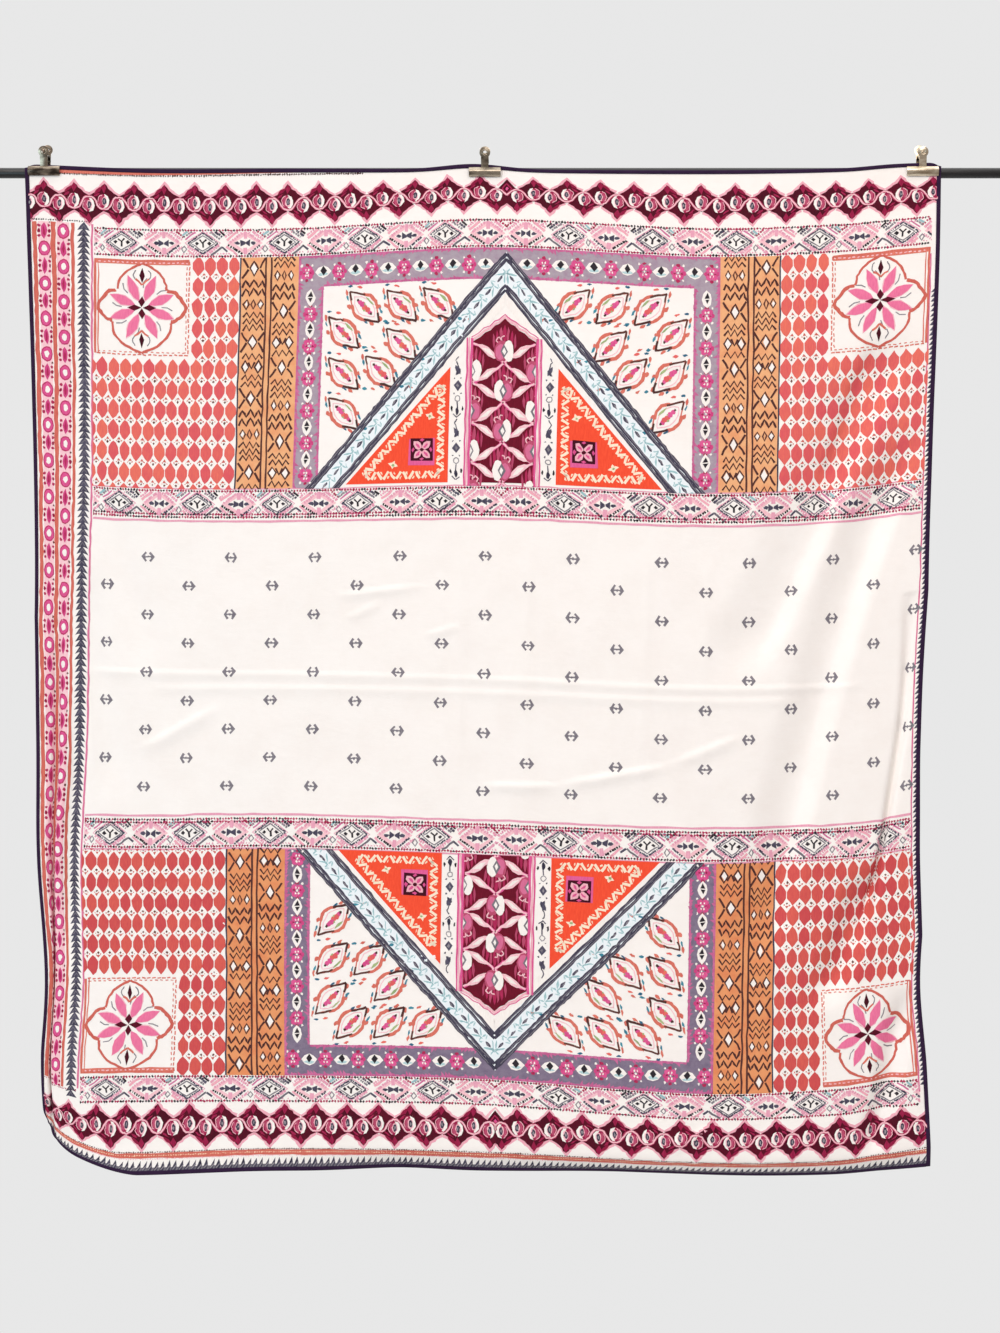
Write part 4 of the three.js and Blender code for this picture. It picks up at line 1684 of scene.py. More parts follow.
@dataclass
class Panel:
    """One patterned panel. Its own v runs from the outer edge towards the white field."""

    outer: float
    inner: float

    @property
    def height(self) -> float:
        """The panel's height."""
        return abs(self.inner - self.outer)

    @property
    def lower(self) -> bool:
        """Whether it is the lower of the two panels."""
        return self.outer > self.inner

    def base(self, side: float) -> Place:
        """The panel's own frame on one side of the middle line."""
        return Place(CENTRE, self.outer, across=side, down=-1 if self.lower else 1)

    def window(self, low: float, high: float) -> tuple:
        """The stretch of the cloth between two distances from the middle line."""
        rows = (min(self.outer, self.inner), max(self.outer, self.inner))
        return ((CENTRE + min(low, high), CENTRE + max(low, high)), rows)

    def sides(self, work: Stitching, low: float, high: float) -> Iterator[Place]:
        """Both halves in turn, with the window set between two distances from the middle line.

        Args:
            work: What is stitched.
            low: The nearer distance.
            high: The farther distance.

        Yields:
            The half's own frame.
        """
        for side in BOTH:
            work.window = self.window(side * low, side * high)
            yield self.base(side)
        work.window = FULL


@dataclass
class CoralLattice:
    """Rows of coral drops with small dotted diamonds of white between them."""

    panel: Panel
    column: float = 29.2
    columns: int = 13
    row: float = 50.5
    rows: int = 12
    reach: float = 25.2
    square: tuple = (774, 241)
    flank: tuple = ((6, -18), (13.3, -8), (13.5, 7), (7, 17.5))
    dots: tuple = (
        Mark([(-4.5, -1.5), (0, -8), (4.5, -1.5)], SALMON, 1, tint=1),
        Mark(diamond(0, 4.5, 3, 3.4), BROWN, 1, tint=0),
        Mark(diamond(6, 1, 1.8, 1.8), SALMON, 1, tint=1, copies=SIDES),
    )

    def stitch(self, work: Stitching) -> None:
        """Stitch the lattice on both sides of the panel.

        Args:
            work: Where it goes.
        """
        # The lower panel's drops take the darker coral copy: painted shade.
        thread = CORAL_DEEP if self.panel.lower else CORAL
        for base in self.panel.sides(work, STRIPES_HALF, LATTICE_HALF + 2):
            for i in range(self.columns):
                for j in range(self.rows):
                    u = STRIPES_HALF + 15 + self.column * i
                    v = 20 + self.row * j
                    if not self._in_square(u, v):
                        wide = 0.93 + 0.14 * work.random.random()
                        flank = tuple((w * wide, y) for w, y in self.flank)
                        drop = flanked((0, -self.reach), flank, (0, self.reach))
                        work.fill(base.at(u, v)(drop), thread, 1, 1.2, work.random.random())
                    between = (u + self.column / 2, v + self.reach)
                    if not self._in_square(*between):
                        draw(work, base.at(*between), self.dots)

    def _in_square(self, u: float, v: float) -> bool:
        """Whether a place lies in the corner square."""
        return u > self.square[0] - 10 and v < self.square[1] + 12


@dataclass
class FlowerSquare:
    """A pale square with an eight-petalled flower in a four-lobed outline."""

    panel: Panel
    u: float = 890
    v: float = 124
    half: float = 115
    petals: tuple = ((24, 86), (68, 83), (109, 83), (153, 84))
    marks: tuple = (
        Mark(rounded([(0, -109), (-22, -99), (-42, -84), (-56, -64), (-60, -44)], 3), SALMON, 1.2, 5.6,
             0.75, SIDES),
        Mark(rounded([(-62, -42), (-80, -38), (-94, -24), (-108, -1), (-96, 20), (-84, 30), (-72, 34)], 3),
             SALMON, 1.2, 8.4, 0.75, SIDES),
        Mark(rounded([(-72, 36), (-70, 58), (-56, 80), (-30, 98), (0, 110)], 3), SALMON, 1.2, 6,
             0.75, SIDES),
        Mark(kite((0, 1), (0, 28), 17, 0.5), MAROON, 2, tint=0.2, copies=ENDS, crown=1),
        Mark(kite((1, 0), (36, 0), 15, 0.5), MAROON, 2, tint=0.2, copies=SIDES, crown=1),
        Mark(kite((0, 62), (0, 99), 12, 0.45), MAROON, 1.4, tint=0.9, copies=ENDS, crown=1),
        Mark([(0, 56), (9, 65), (17, 70)], SALMON, 1.3, 4.6, copies=FOUR),
        Mark(rounded([(17, 70), (22, 80), (15, 93)], 3), GREY, 1.1, 2.4, 0.8, FOUR),
    )
    edges: tuple = (
        Mark([(-115, -117), (115, -117), (115, -106), (-115, -106)], SALMON, 0.8, tint=0),
        Mark([(-112, -110.5), (112, -110.5)], PALE_PINK, 1.3, 2.8, dash=5, gap=6),
        Mark([(-115, -115), (115, -115), (115, 115)], SALMON, 1, 6, 0.4),
        Mark([(-115, -107), (107, -107), (107, 115)], SALMON, 1, 3, 0.1),
        Mark([(-115, -115), (-115, 115), (115, 115)], SALMON, 1, 3.2, dash=9, gap=4),
        Mark([(-109, -115), (-109, 109), (115, 109)], SALMON, 1, 2.4, dash=7, gap=6),
    )

    def stitch(self, work: Stitching) -> None:
        """Stitch the squares on both sides of the panel.

        Args:
            work: Where they go.
        """
        for side in BOTH:
            base = self.panel.base(side).at(self.u, self.v)
            draw(work, base, self.edges)
            flower = Place(base.s, base.t, base.across)
            for degrees, reach in self.petals:
                for sign in BOTH:
                    petal = flower.at(0, 0, turn=math.radians(degrees) * sign)
                    shape = [(0, -17), (8, -29), (13, -50), (9, -67), (1, -reach), (-7, -65), (-11, -48),
                             (-6, -30)]
                    work.fill(petal(shape), ORCHID, 1.2, 1.4, 0.25)
                    work.line(petal(shape), 3, PALE_PINK, 1, True, 0.4)
                    work.line(petal([(18, -46), (21, -58), (18, -72)]), 2.6, GREY, 1.1)
            draw(work, flower, self.marks)


class Row(Enum):
    """Rows of figures on the orange strips, with the room that each takes."""

    CROSS = 54
    ZIGZAG = 21
    CLOSE = 15.5
    TRIPLE = 36.5
    PAIR = 36


@dataclass
class OrangeStrips:
    """Two orange strips of dark line figures with a double line between them."""

    panel: Panel
    inner: float = 543
    outer: float = 617
    rows: tuple = (Row.CROSS, Row.ZIGZAG, Row.ZIGZAG, Row.TRIPLE, Row.CLOSE, Row.CLOSE, Row.CLOSE, Row.CROSS,
                   Row.CLOSE, Row.PAIR, Row.CLOSE, Row.CLOSE)
    lines: tuple = ((575, 4.4, BROWN), (588, 4.4, BROWN), (650, 3.8, SLATE))
    figures: dict = field(default_factory=lambda: {
        Row.CROSS: (
            Mark(diamond(0, 0, 10, 18), BROWN, 1.2, 4.8, 0.7, closed=True),
            Mark(diamond(0, 0, 7.5, 13.5), WHITE, 1.4, tint=0),
            Mark([(28, -24), (14, -2)], BROWN, 1.2, 5, 0.7, FOUR),
        ),
        Row.ZIGZAG: (
            Mark([(-27, 8), (-20, -8), (-11, 8), (0, -10), (10, 8), (20, -8), (28, 9)], BROWN, 1.2, 5.2, 0.8),
        ),
        Row.CLOSE: (
            Mark([(-25, 6), (-17, -6), (-9, 7), (0, -7), (8, 7), (16, -6), (25, 6)], BROWN, 1.2, 4.8, 0.8),
        ),
        Row.TRIPLE: (
            Mark(diamond(17, 0, 6.5, 12), BROWN, 1.2, 4.2, 0.7, SIDES, closed=True),
            Mark(diamond(17, 0, 4.5, 8), WHITE, 1.4, tint=0, copies=SIDES),
            Mark(diamond(0, 0, 5, 11), BROWN, 1.2, 4.4, 0.1, closed=True),
        ),
        Row.PAIR: (
            Mark(diamond(16, 0, 9, 15), BROWN, 1.2, 5.2, 0.8, SIDES, closed=True),
            Mark(diamond(16, 0, 7, 11), WHITE, 1.4, tint=0, copies=SIDES),
            Mark([(-8, -11), (0, 4), (8, -11)], BROWN, 1.3, 5.4, 0.8),
        ),
    })

    def stitch(self, work: Stitching) -> None:
        """Stitch the strips on both sides of the panel.

        Args:
            work: Where they go.
        """
        for base in self.panel.sides(work, FRAME_HALF - 1, STRIPES_HALF + 2):
            for u, width, thread in self.lines:
                work.line(base([(u, 0), (u, self.panel.height)]), width, thread, 1, tint=0.6)
            for u, k, step, v in ((self.outer, 0, 1, 0), (self.inner, 5, -1, -4)):
                while v < self.panel.height:
                    row = self.rows[k % len(self.rows)]
                    draw(work, base.at(u, v + row.value / 2), self.figures[row])
                    v += row.value
                    k += step


@dataclass
class MauveFrame:
    """The mauve frame of a panel with mottled pink edges, white eyes and dotted rosettes."""

    panel: Panel
    pitch: float = 79.5
    flat_row: float = 40
    first_flat: float = 50
    first_rosette: float = 90
    side_pitch: float = 78
    first_tall: float = 102
    flat_eye: tuple = (
        Mark(leaf((-20, 0), (20, 0), 29), WHITE, 1.2, tint=0, crown=1),
        Mark(leaf((-13, 6), (13, 6), 8), PALE_TEAL, 2.2, tint=0.3),
        Mark(diamond(0, -3, 8, 11), BLACK, 2.6, tint=0.4),
    )
    tall_eye: tuple = (
        Mark(leaf((0, -22), (0, 22), 24), WHITE, 1.2, tint=0, crown=1),
        Mark(diamond(0, -2, 7, 13), BLACK, 2.6, tint=0.4),
        Mark([(-8, -1), (8, -1)], WHITE, 3, 2.2, 0),
    )
    rosette: tuple = (
        Mark(oval(6.5, 8.5, 7.5, 8, 8), ROSE, 1.2, copies=FOUR),
        Mark(oval(14, 0, 4.5, 6, 7), ROSE, 1.2, tint=0.9, copies=SIDES),
        Mark(oval(0, 19, 5, 4, 7), CRIMSON, 1.2, tint=0, copies=ENDS),
        Mark(diamond(8, 1, 3, 3), CRIMSON, 1.5, copies=SIDES),
        Mark(oval(12.5, 17.5, 2.8, 3.2, 6), WHITE, 1.6, tint=0.1, copies=FOUR),
        Mark(oval(3.4, 7, 2, 3, 6), WHITE, 1.7, tint=0.3, copies=FOUR),
        Mark(oval(0, 0, 2.4, 2.8, 6), WHITE, 1.7, tint=0.3),
    )

    def stitch(self, work: Stitching) -> None:
        """Stitch the frame on both sides of the panel.

        Args:
            work: Where it goes.
        """
        middle = (FIELD_HALF + FRAME_HALF) / 2
        high = self.panel.height
        for base in self.panel.sides(work, 0, FRAME_HALF):
            self._edge(work, base, (FRAME_HALF, 0), (FRAME_HALF, high), (-1, 0))
            self._edge(work, base, (FIELD_HALF, FRAME_DEPTH), (FIELD_HALF, high), (1, 0))
            self._edge(work, base, (0, 0), (FRAME_HALF, 0), (0, 1))
            self._edge(work, base, (0, FRAME_DEPTH), (FIELD_HALF, FRAME_DEPTH), (0, -1))
            for k in range(6):
                along = self.pitch * k
                down = self.first_tall + self.side_pitch * k
                draw(work, Place(*base([(self.first_flat + along, self.flat_row)])[0]), self.flat_eye)
                draw(work, base.at(self.first_rosette + along, self.flat_row + 1), self.rosette)
                draw(work, Place(*base([(middle, down)])[0]), self.tall_eye)
                draw(work, base.at(middle, down + self.side_pitch / 2), self.rosette)

    def _edge(self, work: Stitching, base: Place, start: Point, end: Point, inward: Point) -> None:
        """A ragged pink edge.

        Args:
            work: Where it goes.
            base: The panel's frame.
            start: Where it starts.
            end: Where it ends.
            inward: Which way it is ragged.
        """
        first, way = np.array(start), np.array(inward)
        span = np.array(end) - first
        count = round(math.hypot(*span) / 8)
        step = span / count
        for k in range(count):
            deep = 4 + 12 * work.random.random() ** 1.8
            a = first + step * k
            b = a + step
            corners = [a, b, b + way * deep, a + way * 5]
            work.fill(base([tuple(c.tolist()) for c in corners]), MALLOW, 0.8, tint=work.random.random())


@dataclass
class LeafField:
    """Slanting ogee leaves scattered over the pale ground on both sides of the chevron."""

    panel: Panel
    places: tuple = ((344, 131), (253, 133), (163, 132), (394, 190), (251, 225), (391, 289), (300, 288),
                     (388, 385))
    leaf_marks: tuple = (
        Mark(rounded([(-54, 0), (-38, 10), (-18, 23), (0, 28), (18, 23), (38, 10), (54, 0)], 2), SALMON,
             1, 3.4, 0.5, ENDS),
        Mark(rounded([(-26, 19), (-10, 27.5), (10, 27.5), (26, 19)], 3), SALMON, 1.1, 7.6, 0.3, ENDS),
        Mark([(-54, 0), (-38, 10), (-20, 21)], BROWN, 1.4, 4.6, 0.3),
        Mark([(54, 0), (38, -10), (20, -21)], BROWN, 1.4, 5.2, 0.8),
        Mark([(-54, 0), (-36, -11)], BROWN, 1.4, 4.4, 0.3),
        Mark([(54, 0), (34, 13)], BROWN, 1.4, 5, 0.8),
        Mark(rounded([(-36, 0), (-22, 12), (0, 19), (22, 12), (36, 0)], 2), PALE_PINK, 0.9, 2.6, 0, ENDS),
        Mark(leaf((-16, 18), (14, 19), 4.6), GREEN, 1.3),
        Mark(oval(-17, 0, 6.5, 5.6, 8), ROSE, 1.2),
        Mark(oval(-8, 1, 7, 7, 8), ROSE, 1.3),
        Mark(oval(2, -1, 7.5, 6.4, 8), CORAL, 1.2),
        Mark(oval(10, 1, 7, 6.8, 8), CORAL, 1.3, tint=0.8),
        Mark(oval(18, 0, 6, 5.4, 8), ROSE, 1.2),
        Mark(oval(-4, 5, 3, 2, 6), GREEN, 1.6),
        Mark(oval(6, -6, 3, 2, 6), GREEN, 1.6),
        Mark(oval(24, 0, 3.6, 3.4, 7), BROWN, 1.5, tint=0.8, copies=SIDES),
    )
    commas: tuple = tuple(Mark(leaf(*ends), thread, layer, tint=tint) for *ends, thread, layer, tint in (
        ((46, -46), (43, -28), 6, SALMON, 1, None), ((44, -31), (40, -16), 4.6, TEAL, 1.1, None),
        ((42, -8), (34, 4), 9, SALMON, 1, None), ((-30, -4), (-41, 5), 9, SALMON, 1, None),
        ((-36, 2), (-44, 18), 5.4, TEAL, 1.1, None), ((2, 31), (-10, 40), 5.4, TEAL, 1.1, 0.9),
        ((-12, 36), (-25, 46), 8, SALMON, 1, None), ((-38, 24), (-42, 38), 8, SALMON, 1, None),
        ((20, -50), (6, -47), 6, CORAL, 1, None), ((42, -52), (30, -52), 6, TEAL, 1.1, 0.9),
        ((-47, 37), (-60, 39), 7, TEAL, 1.1, None), ((-68, 36), (-80, 43), 6, SALMON, 1, None),
    ))

    def stitch(self, work: Stitching) -> None:
        """Stitch the leaves on both sides of the panel.

        Args:
            work: Where they go.
        """
        for base in self.panel.sides(work, 4, FIELD_HALF + 4):
            for u, v in self.places:
                spot = base.at(u, v)
                draw(work, spot.at(0, 0, turn=math.radians(134)), self.leaf_marks)
                draw(work, spot, self.commas)


@dataclass
class Chevron:
    """A pointed band of double slate lines round a pale strip of sprigs."""

    panel: Panel
    band: float = 97
    lines: tuple = ((4, 8.5), (17, 7.5), (80, 7.5), (92, 7))
    sprig: tuple = (
        Mark(leaf((-11, 0), (10, 1), 6.5), SLATE, 1.3, tint=0.3),
        Mark(leaf((-8, 1), (4, 2), 3), GREY, 1.6),
        Mark(leaf((17, 0), (-3, 15), 4), PALE_TEAL, 1.2, tint=0.8, copies=ENDS),
        Mark(leaf((19, 0), (22, 13), 4), PALE_TEAL, 1.2, tint=0.7, copies=ENDS),
        Mark(leaf((24, 2), (8, 2), 3), PALE_TEAL, 1.2, tint=0.9),
        Mark(leaf((-13, 3), (-20, 14), 3.4), PALE_TEAL, 1.2, tint=0.5, copies=ENDS),
    )

    @property
    def apex(self) -> float:
        """How far the point stands from the panel's outer edge."""
        return 22 if self.panel.lower else 11

    def at(self, off: float, v: float) -> Point:
        """The point at a depth on the line that starts off below the apex."""
        slope = 0.897 if self.panel.lower else 0.862
        return (slope * (v - self.apex - off), v)

    def stitch(self, work: Stitching) -> None:
        """Stitch the chevron.

        Args:
            work: Where it goes.
        """
        foot = self.panel.height + 40
        for base in self.panel.sides(work, -FRAME_HALF, FRAME_HALF):
            deep = self.band + 30
            low = self.apex + self.band
            inside = [(0, low), self.at(self.band, foot), self.at(deep, foot), (0, self.apex + deep)]
            work.fill(base(inside), WHITE, 0.9, tint=0)
            strip = [(0, self.apex), self.at(0, foot), self.at(self.band, foot), (0, low)]
            work.fill(base(strip), ICE, 1, tint=0.2)
            for off, width in self.lines:
                start = self.apex + off
                path = [self.at(off, start + (foot - start) * k / 40) for k in range(41)]
                work.line(base(path), width, SLATE, 1.5, tint=0.5)
                work.line(base([(u + 1.5, v) for u, v in path[1:]]), 2, GREY, 1.8, tint=0.7)
            turn = math.atan2(-1, -self.at(0, self.apex + 1)[0])
            for k in range(16):
                u, v = self.at(self.band / 2, self.apex + self.band / 2 + 16 + 32 * k)
                draw(work, base.at(u, v, turn=turn), self.sprig)


@dataclass
class OrangeGores:
    """The two orange-red right-angled gores with leafed borders beside the middle column."""

    panel: Panel
    inner: float = 129
    top: float = 283
    foot: float = 555
    reach: float = 378
    square: tuple = (
        Mark([(-31, -26), (31, -26), (33, 36), (-31, 36)], ROSE, 2, tint=0),
        Mark([(-27, -27), (27, -27), (27, 26), (-27, 26)], MAROON, 2.6, tint=1),
        Mark(leaf((0, 0), (20, 20), 17), PALE_PINK, 3.2, tint=0.8, copies=FOUR),
        Mark(leaf((4, 4), (15, 15), 6), ROSE, 3.6, tint=0.3, copies=FOUR),
        Mark(oval(0, 0, 5, 5, 8), MAROON, 3.8, tint=0.6),
        Mark(diamond(22, 0, 4, 6), ROSE, 3.2, tint=0.5, copies=SIDES),
        Mark(diamond(0, 22, 6, 4), ROSE, 3.2, tint=0.5, copies=ENDS),
    )
    bud: tuple = (
        Mark(leaf((-12, 4), (12, -4), 9), CREAM, 2, tint=0),
        Mark(leaf((-3, -10), (3, 10), 9), CREAM, 2.4, tint=0.3),
        Mark(oval(1, 1, 3.4, 2.6, 7), GREEN, 3),
    )

    def stitch(self, work: Stitching) -> None:
        """Stitch both gores.

        Args:
            work: Where they go.
        """
        i = self.inner
        border = ((i + 19, self.foot - 230), (i + 204, self.foot - 19), (i + 19, self.foot - 19))
        for side in BOTH:
            base = self.panel.base(side)
            corners = [(i, self.top), (self.reach, self.foot), (i, self.foot)]
            work.fill(base(corners), ORANGE_RED, 1.4, tint=0.3)
            for a, b in zip(border, border[1:] + border[:1]):
                self._chain(work, base, a, b)
            draw(work, base.at(193, 477), self.square)
            for u, v in ((175, 398), (262, 511)):
                draw(work, base.at(u, v), self.bud)

    def _chain(self, work: Stitching, base: Place, a: Point, b: Point) -> None:
        """A zigzag chain of small leaves from one corner to another.

        Args:
            work: Where it goes.
            base: The panel's frame.
            a: The first corner.
            b: The second corner.
        """
        length = math.hypot(b[0] - a[0], b[1] - a[1])
        turn = math.atan2(b[1] - a[1], b[0] - a[0])
        count = 2 * max(1, round(length / 29))
        spot = base.at(a[0], a[1], turn=turn)
        for k in range(count):
            way = 1 if k % 2 else -1
            u = (k + 0.5) * length / count
            work.line(spot([(u - 5.5, -8.5 * way), (u + 5.5, 8.5 * way)]), 6.4, CREAM, 2, tint=0.1)
            work.fill(spot(leaf((u + 2.5, -9 * way), (u + 7, -1 * way), 4)), CREAM, 2, tint=0.4)


@dataclass
class MiddleColumn:
    """The maroon column of eyes and crossed leaves, with its pink stripes and sprig strips."""

    panel: Panel
    half: float = 76
    point: float = 170
    shoulder: float = 224
    foot: float = 555
    first_eye: float = 247
    pitch: float = 93
    dome_middle: float = 380
    strip_half: float = 130
    sprig_out: float = 110
    first_sprig: float = 300
    sprig_pitch: float = 146
    stripes: tuple = ((3, 6, 0.1), (9, 3.4, 0.9), (13.5, 4, 0.2))
    crown: tuple = ((14, 183), (24, 187), (34, 198), (48, 204), (58, 214))
    eye: tuple = (
        Mark(oval(-7, 0, 17, 26), DUSTY, 3, tint=0.5, crown=0.6),
        Mark(oval(-9, 2, 11, 19), BLUSH, 3.8, tint=0.9),
        Mark(oval(9.5, 0, 12.5, 25), WHITE, 4.2, tint=0),
        Mark(diamond(0, 1, 9, 17), GREY, 4.8, tint=0.8),
        Mark(diamond(0, 1, 4.4, 9), WHITE, 5.4, tint=0),
        Mark(rounded([(-16, -19), (-20, -27), (-13, -32), (-9, -27)], 3), PALE_PINK, 4, 2.8),
        Mark(rounded([(-6, -25), (-7, -33), (0, -35)], 3), PALE_PINK, 4, 2.8),
    )
    streaks: tuple = (
        Mark(leaf((0, -62), (0, -18), 9), CRIMSON, 2.1, tint=0.1),
        Mark(leaf((9, -57), (8, -16), 7), DUSTY, 2.1, tint=0.6, copies=SIDES),
        Mark(leaf((18, -50), (17, -8), 7), CRIMSON, 2.1, tint=0.2, copies=SIDES),
        Mark(leaf((27, -42), (25, -4), 6), DUSTY, 2.1, tint=0.9, copies=SIDES),
    )
    cross: tuple = (
        Mark(rounded([(2, 1), (20, 17), (38, 25), (56, 38), (74, 46)], 3), ROSE, 2.4, 6.6, 0, FOUR),
        Mark(rounded([(2, 1), (20, 17), (38, 25), (56, 38), (74, 46)], 3), PALE_PINK, 2.6, 4, 0.2, FOUR),
        Mark([(15, 11), (26, 11), (39, 16), (52, 28), (68, 43), (52, 43), (39, 38), (26, 25)], PALE_PINK,
             2.8, tint=0.2, copies=FOUR, crown=0.6),
        Mark([(25, 16), (37, 20), (55, 36), (38, 33)], WHITE, 3.6, tint=0.5, copies=FOUR),
    )
    sprig: tuple = (
        Mark(rounded([(0, -40), (5, -30), (-2, -14), (1, -8)], 3), SLATE, 1.1, 2.6),
        Mark(leaf((-5, 2), (6, -20), 11), SLATE, 1.2, tint=0),
        Mark(leaf((5, 3), (-5, -12), 8), SLATE, 1.3, tint=0.4),
        Mark(diamond(8, 11, 2.4, 2.2), SLATE, 1.1, copies=SIDES),
        Mark(diamond(0, 28, 9.5, 13), SLATE, 1.2, tint=0.1),
        Mark(diamond(0, 28, 3.4, 5), GREY, 1.6),
        Mark(diamond(8, 46, 2.4, 2.2), SLATE, 1.1, copies=SIDES),
        Mark(oval(0, 58, 6, 6.5, 8), GREY, 1.1, 2.2, closed=True),
        Mark([(0, 66), (0, 94)], SLATE, 1.1, 2.8),
        Mark(leaf((0, 78), (0, 98), 9), SLATE, 1.2, tint=0.9),
        Mark(leaf((13, 76), (13, 88), 5), BLACK, 1.1, copies=SIDES),
        Mark([(0, 102), (9, 94)], SLATE, 1.1, 2.4, copies=SIDES),
    )

    def stitch(self, work: Stitching) -> None:
        """Stitch the column.

        Args:
            work: Where it goes.
        """
        base = self.panel.base(1)
        h = self.half
        work.window = self.panel.window(-self.strip_half, self.strip_half)
        crown = (*self.crown, (h, self.shoulder), (h, self.foot))
        work.dome(base(flanked((0, self.point), crown, (0, self.foot))), GARNET, 1.4, 0, 0.7,
                  middle=base([(0, self.dome_middle)])[0])
        halo = arched((0, self.point - 4), tuple((u * 1.03, v - 4) for u, v in crown[:-1]))
        work.line(base(halo), 6, PALE_PINK, 1.6, tint=0.5)
        work.line(base([(u * 1.03, v - 6) for u, v in halo]), 2.4, ROSE, 1.4, tint=0.2)
        work.window = self.panel.window(-h, h)
        for k in range(4):
            v = self.first_eye + self.pitch * k
            flip = 1 if k % 2 == 0 else -1
            draw(work, base.at(0, v), self.streaks)
            for side in BOTH:
                draw(work, base.at(side * h, v + self.pitch / 2), self.streaks)
            draw(work, base.at(0, v + 28), self.cross)
            draw(work, base.at(0, v, flip=flip), self.eye)
            for side in BOTH:
                draw(work, base.at(side * h, v + self.pitch / 2, flip=flip), self.eye)
        for half in self.panel.sides(work, -self.strip_half, self.strip_half):
            for out, width, tint in self.stripes:
                thread = PALE_PINK if width < 3.5 else ROSE
                stripe = half([(h + out, self.shoulder - 8), (h + out, self.foot + 12)])
                work.line(stripe, width, thread, 1.6, tint=tint)
            for k in range(2):
                draw(work, half.at(self.sprig_out, self.first_sprig + self.sprig_pitch * k), self.sprig)


@dataclass
class SideBorder:
    """The left border: salmon lines, two columns of pink rings and a column of slate teeth."""

    top: float = 140
    foot: float = 2222
    pitch: float = 87
    lines: tuple = ((18, 11), (64, 11.5), (111, 8))
    columns: tuple = ((41, 44), (88, 0))
    wash_half: float = 15
    first_ring: float = 22
    teeth: float = 138
    first_tooth: float = 11
    tooth_pitch: float = 14.6
    teeth_past: float = 34
    first_dot: float = 12
    dot_pitch: float = 5.8
    edge: float = 158.5
    ring: tuple = (
        Mark(oval(0, 0, 15.5, 19.5), ROSE, 1, tint=0.4, crown=1.2),
        Mark(oval(0, 0, 14, 17.5), CRIMSON, 1.2, 2.4, 0, closed=True),
        Mark(oval(0, 0, 6.4, 8.8, 10), WHITE, 2.4, tint=0),
        Mark(leaf((0, 23), (0, 64), 15), ROSE, 1.1, tint=1),
        Mark(leaf((0, 31), (0, 56), 6), CRIMSON, 1.4, tint=0.2),
        Mark(oval(12, 31, 4.2, 3.8, 6), CRIMSON, 1.2, tint=0.1, copies=SIDES),
        Mark(oval(13, 43.5, 3.6, 5, 6), CRIMSON, 1.2, tint=0.9, copies=SIDES),
        Mark(oval(12, 56, 4.2, 3.8, 6), CRIMSON, 1.2, tint=0.1, copies=SIDES),
        Mark(oval(14, 21, 2.6, 3, 6), BROWN, 1.2, tint=0),
    )
    tooth: tuple = (
        Mark([(0, -14), (7, -6), (16, 7), (6, 4), (-6, 4), (-16, 7), (-7, -6)], SLATE, 1, crown=0.6),
        Mark([(-7, 2), (0, -7), (7, 2)], GREY, 1.7, 2.8, 0.9),
    )

    def stitch(self, work: Stitching) -> None:
        """Stitch the border.

        Args:
            work: Where it goes.
        """
        rows = [self.top + (self.foot - self.top) * k / 150 for k in range(151)]
        for s, width in self.lines:
            work.line([(s + 0.8 * math.sin(t / 37), t) for t in rows], width, SALMON, 1, tint=0.6)
        work.line([(self.edge, t) for t in rows], 5, BLUSH, 1, tint=0.5)
        work.window = (FULL[0], (self.top, self.foot))
        for s, start in self.columns:
            left = s - self.wash_half
            right = s + self.wash_half
            wash = [(left, self.top), (right, self.top), (right, self.foot), (left, self.foot)]
            work.fill(wash, PALE_PINK, 0.7, tint=0)
            for k in range(-1, 26):
                draw(work, Place(s, self.top + self.first_ring + start + self.pitch * k), self.ring)
        work.window = FULL
        for k in range(int((self.foot + self.teeth_past - self.top) / self.tooth_pitch)):
            draw(work, Place(self.teeth, self.top + self.first_tooth + self.tooth_pitch * k), self.tooth)
        for k in range(25):
            s = self.first_dot + self.dot_pitch * k
            work.fill(diamond(s, self.top - 5, 2.4, 2), BLACK, 1.1)
            work.fill(diamond(s, self.foot + 3, 2.4, 2), CRIMSON, 1.1)


@dataclass
class RightMargin:
    """The narrow right margin: a pink line and a row of small slate teeth along the binding."""

    line: float = 2180
    teeth: float = 2183
    top: float = 240
    teeth_top: float = 330
    foot: float = 2225
    pitch: float = 11.5

    def stitch(self, work: Stitching) -> None:
        """Stitch the margin.

        Args:
            work: Where it goes.
        """
        work.line([(self.line, self.top), (self.line, self.foot)], 3.4, BLUSH, 1, tint=0.8)
        for k in range(int((self.foot - self.teeth_top) / self.pitch)):
            t = self.teeth_top + self.pitch * k
            s = self.teeth
            work.fill([(s, t + 5), (s + 9, t - 6), (s + 9, t + 5)], SLATE, 1)


@dataclass
class ArrowField:
    """Small grey double arrows in offset rows on the white field."""

    first: float = 943
    row: float = 68
    middle: float = 1135
    pitch: float = 206.5
    rows: int = 9
    arrow: tuple = (
        Mark([(-9, 0), (9, 0)], GREY, 1.2, 3.2, 0.6),
        Mark([(5, -11), (14, 0), (5, 11)], GREY, 1.1, 5.4, 0.5, SIDES),
        Mark([(15, 0), (7, -4.5), (7, 4.5)], GREY, 1.3, tint=0.6, copies=SIDES),
        Mark(diamond(0, 0, 3.2, 3.6), GREY, 1.4, tint=0.6),
    )

    def stitch(self, work: Stitching) -> None:
        """Stitch the field.

        Args:
            work: Where it goes.
        """
        for j in range(self.rows):
            shift = 0 if j % 2 == 0 else self.pitch / 2
            for i in range(-5, 6):
                s = self.middle + shift + self.pitch * i
                if PANEL_LEFT + 20 < s < PANEL_RIGHT - 8:
                    draw(work, Place(s, self.first + self.row * j), self.arrow)


